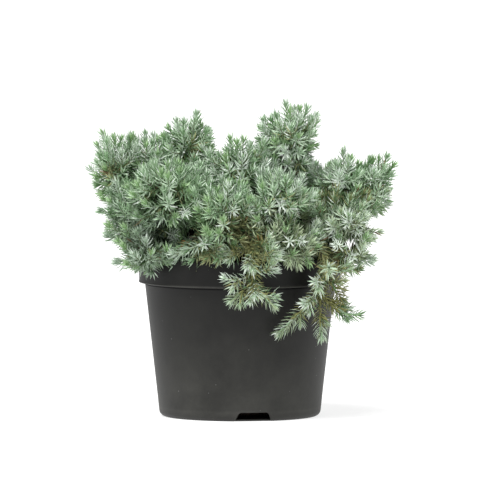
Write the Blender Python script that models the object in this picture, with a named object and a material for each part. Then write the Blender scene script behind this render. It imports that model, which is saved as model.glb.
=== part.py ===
"""Potted juniper: a low spreading needle shrub in a round nursery pot.

Lengths are in millimetres until the meshes are made, which are in metres.
The origin is the centre of the pot's flat underside, +Z is up and the front faces -Y.
"""
import math
import random

import bmesh
import bpy
from mathutils import Vector, noise
from mathutils.bvhtree import BVHTree

MM = 0.001
UP = Vector((0.0, 0.0, 1.0))
GAP = 0.3
MERGE_M = 1e-6
NEAR_PARALLEL = 0.05
GOLDEN_ANGLE = math.pi * (3 - math.sqrt(5))

# Pot: a tapered wall with a wider upright rim band and drain notches at the foot.
POT_SEGMENTS = 44
FOOT_R = 75.1
WALL_SLOPE = 0.115
WALL_T = 1.3
BASE_T = 2.5
CORNER_R = 6.2
CORNER_STEPS = 3
BAND_Z = 126.3
BAND_R = 95.0
BAND_EDGE = 1.1
POT_H = 151.0
RIM_EDGE = 0.5
NOTCH_COUNT = 3
NOTCH_FIRST_DEG = -81.0
NOTCH_H = 7.4
NOTCH_BOTTOM_W = 33.4
NOTCH_TOP_W = 25.7
NOTCH_INNER_R = 66.0
NOTCH_OUTER_R = 92.0
NOTCH_BELOW = 1.0

# Soil: fills the pot to just under the rim, with a slightly uneven top.
SOIL_TOP = 138.0
SOIL_SEGMENTS = 24
SOIL_RINGS = 3
SOIL_UNEVEN = 1.6
SOIL_WAVE = 22.0
SOIL_FLAT_R = 34.0

# Trunk: short and slightly leaning, with a root flare at the soil.
TRUNK_FOOT = Vector((-2.0, 4.0, SOIL_TOP + GAP))
TRUNK_TOP = Vector((1.5, 2.0, 171.0))
TRUNK_FOOT_R = 7.2
TRUNK_TOP_R = 4.6
FLARE_H = 9.0
FLARE_EXTRA = 4.2
FLARE_LOBES = 5
FLARE_LOBE_DEPTH = 0.4
FLARE_SHARES = (0.0, 0.06, 0.14, 0.28)
TRUNK_SIDES = 10
TRUNK_STEPS = 6
TRUNK_TOP_ROUND = 0.72

# Limbs: six-sided tubes with rounded ends, which leave the trunk at a low angle.
LIMB_SIDES = 6
LIMB_STEPS = 4
LIMB_END_ROUND = 0.6
LIMB_END_LONG = 0.8
LIMB_RISE = 0.25
SEAT_REACH = 14.0
SEAT_STEPS = 20

# Boughs: where each leaves the trunk, as a share of its height, and where its tip ends.
# Each row: share up the trunk, tip, root radius, tip radius, sag of the middle.
BOUGHS = {
    "left": (0.40, (-74, -12, 187), 3.0, 1.9, 5.0),
    "left_high": (0.78, (-52, -22, 213), 2.6, 1.7, 4.0),
    "front": (0.42, (-3, -56, 173), 2.8, 1.8, -3.0),
    "centre": (1.00, (-2, 6, 212), 2.7, 1.7, 0.0),
    "right_high": (0.80, (36, -26, 214), 2.8, 1.8, 4.0),
    "right": (0.48, (84, -14, 197), 3.0, 1.9, 5.0),
    "right_front": (0.30, (58, -52, 167), 2.6, 1.8, -2.0),
    "back_left": (0.55, (-48, 46, 184), 2.8, 1.8, 4.0),
    "back": (0.35, (0, 62, 182), 2.8, 1.8, 2.0),
    "back_right": (0.60, (46, 46, 184), 2.8, 1.8, 4.0),
}

# Foliage masses that fill a rounded space.
# Each row: bough, centre, reach of the tips along x, y and z, share of the core, lift, seed.
MASSES = {
    "left_outer": ("left", (-114, 0, 234), (30, 34, 36), 0.46, 0.5, 203),
    "left_upper": ("left_high", (-83, 8, 239), (30, 32, 31), 0.46, 0.6, 301),
    "left_low": ("left", (-97, -32, 188), (37, 35, 32), 0.50, 0.1, 280),
    "left_rim": ("left", (-89, -56, 157), (34, 28, 19), 0.45, -0.2, 308),
    "left_crest": ("left_high", (-46, 5, 256), (33, 34, 33), 0.50, 0.5, 287),
    "left_front": ("left_high", (-70, -55, 217), (36, 32, 32), 0.50, 0.3, 315),
    "inner_left": ("front", (-40, -32, 206), (30, 27, 29), 0.50, 0.2, 266),
    "centre_front": ("front", (-16, -84, 200), (36, 28, 30), 0.50, 0.1, 329),
    "centre_low": ("front", (-36, -80, 174), (35, 29, 24), 0.48, -0.1, 308),
    "centre_mid": ("centre", (-3, -32, 236), (34, 30, 31), 0.52, 0.5, 385),
    "right_crest": ("right_high", (46, -5, 262), (35, 34, 39), 0.50, 0.6, 245),
    "right_front": ("right_high", (38, -70, 210), (36, 28, 30), 0.50, 0.2, 28),
    "inner_right": ("right_front", (52, -38, 190), (29, 26, 25), 0.50, 0.0, 42),
    "right_upper": ("right", (97, -8, 222), (32, 34, 34), 0.50, 0.5, 308),
    "right_outer": ("right", (124, 0, 218), (26, 28, 32), 0.48, 0.4, 14),
    "right_low": ("right", (101, -36, 186), (36, 33, 27), 0.50, 0.0, 357),
    "right_arm": ("right_front", (104, -50, 158), (30, 26, 18), 0.42, 0.0, 385),
    "right_rim": ("right_front", (42, -80, 172), (35, 29, 23), 0.48, -0.1, 322),
    "centre_back": ("centre", (10, 34, 219), (35, 32, 30), 0.52, 0.5, 406),
    "inner_back": ("centre", (-30, 40, 202), (27, 27, 27), 0.50, 0.3, 189),
    "side_left": ("back_left", (-84, 30, 182), (34, 33, 28), 0.48, 0.1, 70),
    "side_right": ("back_right", (84, 30, 180), (34, 33, 27), 0.48, 0.1, 84),
    "back_left": ("back_left", (-62, 60, 214), (38, 36, 33), 0.50, 0.4, 126),
    "back_low_left": ("back_left", (-70, 70, 170), (38, 34, 25), 0.45, 0.0, 252),
    "back_centre": ("back", (0, 92, 206), (36, 36, 34), 0.50, 0.4, 203),
    "back_mid_left": ("back", (-35, 86, 184), (27, 26, 25), 0.48, 0.1, 308),
    "back_mid_right": ("back", (37, 84, 184), (27, 26, 25), 0.48, 0.1, 315),
    "back_low": ("back", (2, 104, 166), (36, 28, 20), 0.45, -0.1, 56),
    "back_right": ("back_right", (62, 62, 212), (38, 36, 32), 0.50, 0.4, 238),
    "back_low_right": ("back_right", (70, 72, 168), (38, 34, 24), 0.45, 0.0, 364),
}

# Hanging masses: a stem that goes over the rim and down, with twigs from it.
# Each row: bough, stem path, share of the space, twigs as (share along the stem, tip).
HANGING = {
    "front_hanging": (
        "front",
        ((6, -82, 172), (12, -99, 162), (13, -105, 142), (12, -104, 127)),
        33.0,
        ((0.20, (-19, -104, 166)), (0.24, (33, -104, 168)), (0.29, (8, -118, 171)),
         (0.42, (-17, -114, 155)), (0.46, (38, -114, 157)), (0.51, (10, -126, 154)),
         (0.64, (-18, -116, 140)), (0.69, (44, -112, 142)), (0.84, (-12, -110, 113)),
         (0.89, (36, -110, 107)), (0.79, (13, -122, 118)), (0.95, (8, -106, 101))),
    ),
    "right_hanging": (
        "right_front",
        ((72, -66, 167), (80, -74, 152), (78, -78, 138), (73, -80, 121)),
        31.0,
        ((0.90, (34, -92, 82)), (0.97, (77, -80, 76)), (0.93, (117, -66, 102)),
         (0.87, (103, -70, 94)), (0.84, (57, -100, 112)), (0.78, (98, -88, 130)),
         (0.95, (56, -92, 92)), (0.55, (84, -98, 146)), (0.65, (58, -96, 136)),
         (0.45, (106, -80, 146))),
    ),
}

# Sprays: each is a slim three-sided core with a whorl of three needles at each step.
SEED = 4100
WHORLS = 3
WHORL_TURN = math.pi / 3
SPRAY_CORE_R = 3.3
SPRAY_START = 3.5
SPRAY_STAND = 1.5
SPRAY_TAPER = 0.25
SPRAY_FIRST_LESS = 0.22
SPRAY_LEAN = 0.9
ROOT_SHAKE = 0.25
WAY_SHAKE = 0.08
SPRAY_PITCH = 9.0
SPRAY_PITCH_LEAST = 0.6
SPRAY_ROOM_LEAST = 0.4
SPRAY_END = 7.5
SPRAY_REACH = 10.6
SPRAY_FORWARD = 8.0
SPRAY_SPACING = 22.0
SPRAY_TRIES = ((1.0, 1.0), (0.9, 0.9), (0.8, 0.75))
NEEDLE_TRIES = (1.0, 0.75, 0.5)
NEEDLE_SHIFT = 0.3
NEEDLE_CLEAR = 0.8
HANGING_SIZE = 0.82
HANGING_TRIES = (1.0, 0.88, 0.76)

# Twigs inside a mass: lines from its middle that the sprays leave.
TWIG_COUNT = 4
TWIG_CANDIDATES = 40
TWIG_SHARE = 0.55
TWIG_SPACING = 0.75
TWIG_INWARD_LIMIT = -0.1
TWIG_ROOM = (0.1, 0.93)

# Masses: sizes of their cores, and where their sprays' tips may lie.
CORE_SCALE = 0.92
CORE_LUMPS = 0.16
CORE_WAVE = 17.0
CORE_OFFSET = 99.0
CORE_SHRINK = 0.9
CORE_LEAST = 0.15
REACH_SCALE = 1.11
LIFT_SHARE = 0.5
TIP_SPREAD_IN = 0.07
TIP_SPREAD_OUT = 0.028
CANDIDATES = 150
INWARD_LIMIT = -0.45
NEIGHBOUR_REACH = 1.6
CROWN_HEART = Vector((0.0, 0.0, 168.0))

# Stems: each joins a mass to its bough, and is pushed apart from its neighbours.
STEM_R = 1.3
STEM_TIP_R = 1.0
STEM_BEND = 5.0
STEM_PUSHES = 30
STEM_PUSH = 0.05
STEM_PART_COS = 0.3
STEM_SIDES = 5

# Room kept between a mass and whatever is next to it, and round the pot.
CLEARANCE = 0.4
SHELL_INNER_R = 60.0
SHELL_BELOW = 5.0
SHELL_EXTRA = 1.0
RIM_INNER_EXTRA = 2.0
FUSE_TRIES = 4


def clear_scene():
    for item in list(bpy.data.objects):
        bpy.data.objects.remove(item, do_unlink=True)


def make_material(name, colour, roughness):
    mat = bpy.data.materials.new(name)
    mat.use_nodes = True
    shader = mat.node_tree.nodes["Principled BSDF"]
    shader.inputs["Base Color"].default_value = (*colour, 1.0)
    shader.inputs["Roughness"].default_value = roughness
    mat.diffuse_color = (*colour, 1.0)
    return mat


def add_object(name, verts, faces, mat=None, smooth=False, collection=None):
    mesh = bpy.data.meshes.new(name)
    mesh.from_pydata([tuple(Vector(v) * MM) for v in verts], [], faces)
    mesh.update()
    item = bpy.data.objects.new(name, mesh)
    (collection or bpy.context.scene.collection).objects.link(item)
    if mat:
        mesh.materials.append(mat)
    mesh.polygons.foreach_set("use_smooth", [smooth] * len(mesh.polygons))
    return item


def tidy_mesh(item):
    """Makes the faces triangles that point outward."""
    work = bmesh.new()
    work.from_mesh(item.data)
    bmesh.ops.triangulate(work, faces=work.faces)
    bmesh.ops.recalc_face_normals(work, faces=work.faces)
    work.to_mesh(item.data)
    work.free()


def apply_boolean(item, operation, cutter=None, collection=None, solver="EXACT"):
    step = item.modifiers.new("fuse", "BOOLEAN")
    step.operation = operation
    step.solver = solver
    if collection:
        step.operand_type = "COLLECTION"
        step.collection = collection
    else:
        step.object = cutter
    depsgraph = bpy.context.evaluated_depsgraph_get()
    result = bpy.data.meshes.new_from_object(item.evaluated_get(depsgraph))
    item.modifiers.remove(step)
    result.name = item.data.name
    item.data = result


def frame_along(axis, near=None):
    """Two unit vectors square to the axis and to each other, the first turned near to a given one."""
    side = axis.cross(UP)
    if near:
        side = near - axis * near.dot(axis)
    elif side.length < NEAR_PARALLEL:
        side = axis.cross(Vector((0.0, 1.0, 0.0)))
    side.normalize()
    return side, axis.cross(side).normalized()


def turn(name, profile, segments):
    """A closed body of revolution from a profile that starts and ends on the axis."""
    work = bmesh.new()
    points = [work.verts.new(Vector((r, 0.0, z)) * MM) for r, z in profile]
    edges = [work.edges.new(pair) for pair in zip(points, points[1:])]
    bmesh.ops.spin(work, geom=points + edges, axis=UP, cent=(0, 0, 0), steps=segments,
                   angle=math.tau, use_merge=True)
    bmesh.ops.remove_doubles(work, verts=work.verts, dist=MERGE_M)
    bmesh.ops.recalc_face_normals(work, faces=work.faces)
    mesh = bpy.data.meshes.new(name)
    work.to_mesh(mesh)
    work.free()
    item = bpy.data.objects.new(name, mesh)
    bpy.context.scene.collection.objects.link(item)
    return item


def wall_r(z):
    return FOOT_R + WALL_SLOPE * z


def corner(radius, inset):
    """The rounded corner between the base and the wall, set in by an inset."""
    centre_r = wall_r(CORNER_R) - CORNER_R
    points = []
    for i in range(CORNER_STEPS + 1):
        angle = math.pi / 2 * i / CORNER_STEPS
        points.append((centre_r + (radius - inset) * math.sin(angle),
                       CORNER_R - (radius - inset) * math.cos(angle)))
    return points


def make_pot():
    outside = [(0.0, 0.0)] + corner(CORNER_R, 0.0)
    outside += [(wall_r(BAND_Z), BAND_Z), (BAND_R - BAND_EDGE, BAND_Z), (BAND_R, BAND_Z + BAND_EDGE),
                (BAND_R, POT_H - RIM_EDGE), (BAND_R - RIM_EDGE, POT_H)]
    inner_band = BAND_R - WALL_T
    inner_step = BAND_Z + WALL_T
    inside = [(inner_band, POT_H), (inner_band, inner_step), (wall_r(BAND_Z) - WALL_T, inner_step)]
    inside += [(r, max(z, BASE_T)) for r, z in reversed(corner(CORNER_R, WALL_T))]
    inside += [(0.0, BASE_T)]
    pot = turn("pot", outside + inside, POT_SEGMENTS)
    for i in range(NOTCH_COUNT):
        angle = math.radians(NOTCH_FIRST_DEG) + math.tau * i / NOTCH_COUNT
        out = Vector((math.cos(angle), math.sin(angle), 0.0))
        across = Vector((-out.y, out.x, 0.0))
        grow = (NOTCH_BOTTOM_W - NOTCH_TOP_W) / NOTCH_H * NOTCH_BELOW
        verts = []
        for r in (NOTCH_INNER_R, NOTCH_OUTER_R):
            for z, width in ((-NOTCH_BELOW, NOTCH_BOTTOM_W + grow), (NOTCH_H, NOTCH_TOP_W)):
                for sign in (-1, 1):
                    verts.append(out * r + across * (sign * width / 2) + UP * z)
        faces = [(0, 1, 3, 2), (4, 6, 7, 5), (0, 4, 5, 1), (2, 3, 7, 6), (0, 2, 6, 4), (1, 5, 7, 3)]
        cutter = add_object("notch_cutter", verts, faces)
        tidy_mesh(cutter)
        cutter.hide_render = True
        cutter.display_type = "WIRE"
        apply_boolean(pot, "DIFFERENCE", cutter=cutter)
        bpy.data.objects.remove(cutter, do_unlink=True)
    tidy_mesh(pot)
    return pot


def make_soil():
    facet_sag = BAND_R * (1.0 - math.cos(math.pi / POT_SEGMENTS))
    side = WALL_T + GAP + facet_sag
    top_r = BAND_R - side
    step_z = BAND_Z + WALL_T + GAP
    profile = [(0.0, BASE_T + GAP)]
    profile += [(r, max(z, BASE_T + GAP)) for r, z in corner(CORNER_R, side)]
    profile += [(wall_r(step_z) - side - GAP, step_z), (top_r, step_z)]
    profile += [(top_r * (1 - i / SOIL_RINGS), SOIL_TOP) for i in range(SOIL_RINGS + 1)]
    soil = turn("soil", profile, SOIL_SEGMENTS)
    for vert in soil.data.vertices:
        spot = vert.co / MM
        if spot.z > SOIL_TOP - GAP:
            away = (Vector((spot.x, spot.y)) - TRUNK_FOOT.xy).length
            share = min(1.0, max(0.0, away / SOIL_FLAT_R - 1.0))
            vert.co.z += SOIL_UNEVEN * share * noise.noise(spot / SOIL_WAVE) * MM
    tidy_mesh(soil)
    return soil


def ring_points(centre, frame, radius, sides, turned=0.0):
    side, other = frame
    return [centre + (side * math.cos(a) + other * math.sin(a)) * radius
            for a in (turned + math.tau * i / sides for i in range(sides))]


def tube(path, radii, sides):
    """A closed tapering tube along a path, with both ends rounded off."""
    verts = []
    rings = []
    last = len(path) - 1
    spots = []
    for i, (spot, radius) in enumerate(zip(path, radii)):
        axis = (path[min(i + 1, last)] - path[max(i - 1, 0)]).normalized()
        if i == 0:
            spots.append((spot, axis, radius * LIMB_END_ROUND))
            spots.append((spot + axis * radius * LIMB_END_LONG, axis, radius))
        elif i == last:
            spots.append((spot - axis * radius * LIMB_END_LONG, axis, radius))
            spots.append((spot, axis, radius * LIMB_END_ROUND))
        else:
            spots.append((spot, axis, radius))
    frame = (None, None)
    for spot, axis, radius in spots:
        frame = frame_along(axis, frame[0])
        rings.append(range(len(verts), len(verts) + sides))
        verts += ring_points(spot, frame, radius, sides)
    faces = [tuple(reversed(rings[0])), tuple(rings[-1])]
    for low, high in zip(rings, rings[1:]):
        for i in range(sides):
            j = (i + 1) % sides
            faces.append((low[i], low[j], high[j], high[i]))
    return verts, faces


def trunk_axis(share):
    lean = TRUNK_TOP - TRUNK_FOOT
    return TRUNK_FOOT + lean * share


def trunk_r(share):
    return TRUNK_FOOT_R + (TRUNK_TOP_R - TRUNK_FOOT_R) * share


def make_trunk():
    verts = []
    height = TRUNK_TOP.z - TRUNK_FOOT.z
    levels = list(FLARE_SHARES)
    for i in range(TRUNK_STEPS):
        levels.append(FLARE_SHARES[-1] + (1.0 - FLARE_SHARES[-1]) * (i + 1) / TRUNK_STEPS)
    for share in levels:
        spot = trunk_axis(share)
        flare = max(0.0, 1.0 - share * height / FLARE_H) ** 2
        round_top = TRUNK_TOP_ROUND if share == levels[-1] else 1.0
        for i in range(TRUNK_SIDES):
            angle = math.tau * i / TRUNK_SIDES
            lobe = 1.0 - FLARE_LOBE_DEPTH + FLARE_LOBE_DEPTH * math.cos(FLARE_LOBES * angle)
            radius = trunk_r(share) * round_top + FLARE_EXTRA * flare * lobe
            verts.append(spot + Vector((math.cos(angle), math.sin(angle), 0.0)) * radius)
    faces = [tuple(reversed(range(TRUNK_SIDES)))]
    for row in range(len(levels) - 1):
        for i in range(TRUNK_SIDES):
            j = (i + 1) % TRUNK_SIDES
            low = row * TRUNK_SIDES
            faces.append((low + i, low + j, low + TRUNK_SIDES + j, low + TRUNK_SIDES + i))
    top = (len(levels) - 1) * TRUNK_SIDES
    faces.append(tuple(range(top, top + TRUNK_SIDES)))
    return verts, faces


def seat(make, carrier):
    """The least set-off at which a limb is a gap clear of what carries it."""
    tree = BVHTree.FromPolygons(*carrier)
    low = 0.0
    high = SEAT_REACH
    for halving in range(SEAT_STEPS):
        middle = (low + high) / 2
        limb = make(middle)
        own = BVHTree.FromPolygons(*limb)
        gaps = [tree.find_nearest(v)[3] for v in limb[0]] + [own.find_nearest(v)[3] for v in carrier[0]]
        if tree.overlap(own) or min(gaps) < GAP:
            low = middle
        else:
            high = middle
    return high


def bough_path(name, trunk):
    """Points and radii of a bough from the trunk's side to just past its tip."""
    share, tip, root_r, tip_r, sag = BOUGHS[name]
    tip = Vector(tip)
    heart = trunk_axis(share)
    out = tip - heart
    if share < 1.0:
        out.z = out.length * LIMB_RISE
    out.normalize()
    radii = [root_r + (tip_r - root_r) * i / LIMB_STEPS for i in range(LIMB_STEPS + 1)]

    def path_from(set_off):
        start = heart + out * set_off
        middle = (start + tip) / 2 - UP * sag
        end = tip + (tip - middle).normalized() * tip_r * LIMB_END_LONG
        path = []
        for i in range(LIMB_STEPS + 1):
            t = i / LIMB_STEPS
            path.append(start * (1 - t) ** 2 + middle * 2 * t * (1 - t) + end * t ** 2)
        return path

    return path_from(seat(lambda set_off: tube(path_from(set_off), radii, LIMB_SIDES), trunk)), radii


def stem_ways(goals):
    """The way each mass's stem sets off from its bough's tip, well apart from its neighbours' stems."""
    ways = {name: (goal - Vector(BOUGHS[bough][1])).normalized() for name, (bough, goal) in goals.items()}
    for push_round in range(STEM_PUSHES):
        for name in ways:
            for other in ways:
                same_tip = goals[name][0] == goals[other][0] and name < other
                if same_tip and ways[name].dot(ways[other]) > STEM_PART_COS:
                    push = (ways[name] - ways[other]).normalized() * STEM_PUSH
                    ways[name] = (ways[name] + push).normalized()
                    ways[other] = (ways[other] - push).normalized()
    return ways


def stem_path(tip, way, path, bough):
    """Points and radii of a mass's stem, from just clear of its bough's tip along a path."""
    last = len(path) + 1
    radii = [STEM_R + (STEM_TIP_R - STEM_R) * i / last for i in range(last + 1)]

    def path_from(set_off):
        start = tip + way * set_off
        return [start, start + way * STEM_BEND] + path

    return path_from(seat(lambda set_off: tube(path_from(set_off), radii, STEM_SIDES), bough)), radii


def spray(root, tip, start, turned, size, allowed):
    """A slim three-sided core with whorls of needles, from a pointed root to a pointed tip.

    A needle that isn't allowed is tried shorter and then left out.
    """
    along = tip - root
    axis = along.normalized()
    room = along.length - start - SPRAY_END
    count = max(1, round(room / SPRAY_PITCH))
    pitch = max(room, SPRAY_PITCH * SPRAY_PITCH_LEAST) / count
    frame = frame_along(axis)
    verts = [root, tip]
    rings = []
    for k in range(count + 1):
        level = root + axis * (start + pitch * k)
        radius = SPRAY_CORE_R * size * (1.0 - SPRAY_TAPER * k / count)
        rings.append(range(len(verts), len(verts) + WHORLS))
        verts += ring_points(level, frame, radius, WHORLS, turned + WHORL_TURN * k)
    faces = []
    for i in range(WHORLS):
        j = (i + 1) % WHORLS
        faces.append((0, rings[0][j], rings[0][i]))
        faces.append((rings[-1][i], rings[-1][j], 1))
    for k, (low, high) in enumerate(zip(rings, rings[1:])):
        level = root + axis * (start + pitch * k)
        reach = SPRAY_REACH * size * (1.0 - SPRAY_FIRST_LESS * (k + 1 < count))
        for i in range(WHORLS):
            j = (i + 1) % WHORLS
            faces.append((low[j], high[j], high[i]))
            away = ((verts[low[i]] + verts[low[j]]) / 2 - level).normalized()
            needle_foot = level + axis * pitch * NEEDLE_SHIFT
            needle_way = away * reach + axis * SPRAY_FORWARD * size
            spots = [needle_foot + needle_way * short for short in NEEDLE_TRIES]
            spots = [spot for spot in spots if allowed(spot)]
            if spots:
                needle = len(verts)
                verts.append(spots[0])
                faces.append((low[i], low[j], needle))
                faces.append((low[j], high[i], needle))
                faces.append((high[i], low[i], needle))
            else:
                faces.append((low[i], low[j], high[i]))
    return verts, faces


def core_shape(centre, reach, share, planes, rng):
    """A lumpy smaller body inside a mass, kept inside the planes round it."""
    work = bmesh.new()
    bmesh.ops.create_icosphere(work, subdivisions=1, radius=1.0)
    verts = []
    offset = Vector([rng.uniform(0, CORE_OFFSET) for axis in range(3)])
    for vert in work.verts:
        way = stretched(vert.co, reach) * share
        lump = 1.0 + CORE_LUMPS * noise.noise((centre + way + offset) / CORE_WAVE)
        limit = 1.0
        for normal, distance in planes:
            slope = normal.dot(way * lump)
            if slope > 0:
                limit = min(limit, (distance - CLEARANCE * 2 - normal.dot(centre)) / slope)
        verts.append(centre + way * lump * max(CORE_LEAST, limit))
    faces = [tuple(v.index for v in face.verts) for face in work.faces]
    work.free()
    return verts, faces


def cell_planes(centres, name):
    """The planes that part a mass's own space from its neighbours' spaces."""
    here, radius = centres[name]
    planes = []
    for other, (there, other_radius) in centres.items():
        if other == name:
            continue
        gap = there - here
        distance = gap.length
        if distance > (radius + other_radius) * NEIGHBOUR_REACH:
            continue
        normal = gap / distance
        split = (distance ** 2 + radius ** 2 - other_radius ** 2) / (2 * distance)
        planes.append((normal, normal.dot(here) + split))
    return planes


def in_cell(verts, planes):
    return all(normal.dot(v) < distance - CLEARANCE for v in verts for normal, distance in planes)


def clear_of_pot(verts):
    for v in verts:
        away = v.xy.length
        if v.z < SOIL_TOP + SOIL_UNEVEN + CLEARANCE and away < BAND_R + CLEARANCE * 3:
            if v.z > BAND_Z - CLEARANCE * 3 or away < wall_r(v.z) + CLEARANCE * 3:
                return False
        if v.z < POT_H + CLEARANCE * 2 and BAND_R - WALL_T - RIM_INNER_EXTRA < away < BAND_R + CLEARANCE * 3:
            return False
    return True


def tree_of(parts):
    verts = []
    faces = []
    for part_verts, part_faces in parts:
        base = len(verts)
        verts += part_verts
        faces += [tuple(base + i for i in face) for face in part_faces]
    return BVHTree.FromPolygons(verts, faces)


def pot_shell():
    """The outside of the pot and its soil, a little enlarged, to keep foliage off it."""
    grow = CLEARANCE
    out = grow + SHELL_EXTRA
    inner_r = BAND_R - WALL_T - grow
    soil_z = SOIL_TOP + SOIL_UNEVEN + grow
    profile = [(SHELL_INNER_R, -SHELL_BELOW), (FOOT_R + out, -SHELL_BELOW),
               (wall_r(BAND_Z) + out, BAND_Z - grow), (BAND_R + grow, BAND_Z - grow),
               (BAND_R + grow, POT_H + grow), (inner_r, POT_H + grow), (inner_r, soil_z), (MM, soil_z)]
    verts = []
    for r, z in profile:
        verts += ring_points(UP * z, frame_along(UP), r, POT_SEGMENTS)
    faces = []
    for row in range(len(profile) - 1):
        for i in range(POT_SEGMENTS):
            j = (i + 1) % POT_SEGMENTS
            low = row * POT_SEGMENTS
            faces.append((low + i, low + j, low + POT_SEGMENTS + j, low + POT_SEGMENTS + i))
    return verts, faces


def hits(part, blocked):
    return bool(blocked.overlap(BVHTree.FromPolygons(*part)))


def shaken(rng, size):
    return Vector([rng.uniform(-1, 1) for axis in range(3)]) * size


def directions(count, rng):
    """Even directions over a sphere, a little shaken."""
    result = []
    for i in range(count):
        z = 1 - 2 * (i + 0.5) / count
        flat = math.sqrt(1 - z * z)
        way = Vector((math.cos(GOLDEN_ANGLE * i) * flat, math.sin(GOLDEN_ANGLE * i) * flat, z))
        result.append((way + shaken(rng, WAY_SHAKE)).normalized())
    rng.shuffle(result)
    return result


def stretched(way, reach):
    return Vector([w * r for w, r in zip(way, reach)])


def mass_twigs(centre, reach, heart_way, rng):
    """The main twigs of a mass: from its stem's end out to part of the way to its surface."""
    apart = TWIG_SPACING * reach.length / math.sqrt(3)
    ends = []
    for way in directions(TWIG_CANDIDATES, rng):
        if way.dot(heart_way) < TWIG_INWARD_LIMIT or len(ends) == TWIG_COUNT:
            continue
        end = centre + stretched(way, reach) * TWIG_SHARE
        if all((end - other).length > apart for other in ends):
            ends.append(end)
    return [(centre, end) for end in ends]


def best_root(tip, twigs):
    """Where on which twig a spray with this tip leaves most naturally."""
    best = None
    for start, end in twigs:
        along = end - start
        length = along.length
        axis = along / length
        run = (tip - start).dot(axis)
        off = (tip - start - axis * run).length
        place = min(max(run - off * SPRAY_LEAN, length * TWIG_ROOM[0]), length * TWIG_ROOM[1])
        root = start + axis * place
        if best is None or (tip - root).length < (tip - best).length:
            best = root
    return best


def needle_test(planes, blocked):
    """A test of whether a needle's tip may be at a spot."""
    def allowed(spot):
        clear_of_limbs = blocked.find_nearest(spot)[3] > NEEDLE_CLEAR
        return clear_of_limbs and in_cell([spot], planes) and clear_of_pot([spot])
    return allowed


def fits(verts, part, planes, blocked):
    return in_cell(verts, planes) and clear_of_pot(verts) and not hits(part, blocked)


def mass_sprays(centre, reach, lift, core, twigs, planes, blocked, rng):
    """Sprays that leave the twigs and reach the outer side of the mass, evenly spaced at the tips."""
    inside = BVHTree.FromPolygons(*core)
    allowed = needle_test(planes, blocked)
    tips = []
    parts = []
    for way in directions(CANDIDATES, rng):
        spread = 1.0 + rng.uniform(-TIP_SPREAD_IN, TIP_SPREAD_OUT)
        turned = rng.uniform(0, math.tau)
        shake = shaken(rng, ROOT_SHAKE)
        surface = centre + stretched(way, reach) * spread
        outward = (surface - CROWN_HEART).normalized()
        if way.dot(outward) < INWARD_LIMIT:
            continue
        for shorten, size in SPRAY_TRIES:
            tip = centre.lerp(surface, shorten)
            if any((tip - other).length < SPRAY_SPACING for other in tips):
                continue
            root = best_root(tip - UP * lift * reach.z * LIFT_SHARE, twigs) + shake
            along = tip - root
            leave = inside.ray_cast(tip, -along.normalized())[0]
            start = (leave - root).length + SPRAY_STAND if leave else SPRAY_START
            if along.length < start + SPRAY_END + SPRAY_PITCH * SPRAY_ROOM_LEAST:
                continue
            part = spray(root, tip, max(start, SPRAY_START), turned, size, allowed)
            if fits(part[0], part, planes, blocked):
                tips.append(tip)
                parts.append(part)
                break
    return parts


def open_edges(item):
    work = bmesh.new()
    work.from_mesh(item.data)
    count = sum(1 for edge in work.edges if len(edge.link_faces) != 2)
    work.free()
    return count


def fuse(name, base, parts):
    """Joins a mass's parts in one union and keeps its one outer skin.

    A union that doesn't close is made again by the other method, then with fewer sprays.
    """
    for dropped in range(FUSE_TRIES):
        for solver in ("EXACT", "MANIFOLD"):
            item = union(name, base, parts[:len(parts) - dropped], solver)
            if open_edges(item) == 0:
                return item
            bpy.data.objects.remove(item, do_unlink=True)
    raise RuntimeError(name + " can't be fused")


def union(name, base, parts, solver):
    group = bpy.data.collections.new(name + "_parts")
    bpy.context.scene.collection.children.link(group)
    item = add_object(name, *base)
    tidy_mesh(item)
    for part in parts:
        piece = add_object("piece", *part, collection=group)
        tidy_mesh(piece)
    apply_boolean(item, "UNION", collection=group, solver=solver)
    for piece in list(group.objects):
        bpy.data.objects.remove(piece, do_unlink=True)
    bpy.data.collections.remove(group)
    tidy_mesh(item)
    keep_skin(item)
    return item


def keep_skin(item):
    """Drops loose scraps and the skins of sealed hollows."""
    work = bmesh.new()
    work.from_mesh(item.data)
    left = set(work.verts)
    islands = []
    while left:
        seed = left.pop()
        island = {seed}
        edge = [seed]
        while edge:
            vert = edge.pop()
            for link in vert.link_edges:
                other = link.other_vert(vert)
                if other in left:
                    left.discard(other)
                    island.add(other)
                    edge.append(other)
        islands.append(island)
    islands.sort(key=len)
    for island in islands[:-1]:
        bmesh.ops.delete(work, geom=list(island), context="VERTS")
    work.to_mesh(item.data)
    work.free()


def plan_masses(boughs):
    """The spaces and stems of all the masses, with enlarged stems that the others keep clear of."""
    centres = {}
    paths = {}
    for name, (bough, centre, reach, *others) in MASSES.items():
        centres[name] = (Vector(centre), sum(reach) / 3)
        paths[name] = (bough, [Vector(centre)])
    for name, (bough, path, radius, *others) in HANGING.items():
        centres[name] = (Vector(path[-2]), radius)
        paths[name] = (bough, [Vector(spot) for spot in path])
    ways = stem_ways({name: (bough, path[0]) for name, (bough, path) in paths.items()})
    stems = {name: stem_path(Vector(BOUGHS[bough][1]), ways[name], path, boughs[bough])
             for name, (bough, path) in paths.items()}
    thick = {name: tube(path, [r + CLEARANCE for r in radii], STEM_SIDES)
             for name, (path, radii) in stems.items()}
    return centres, stems, thick


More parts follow.
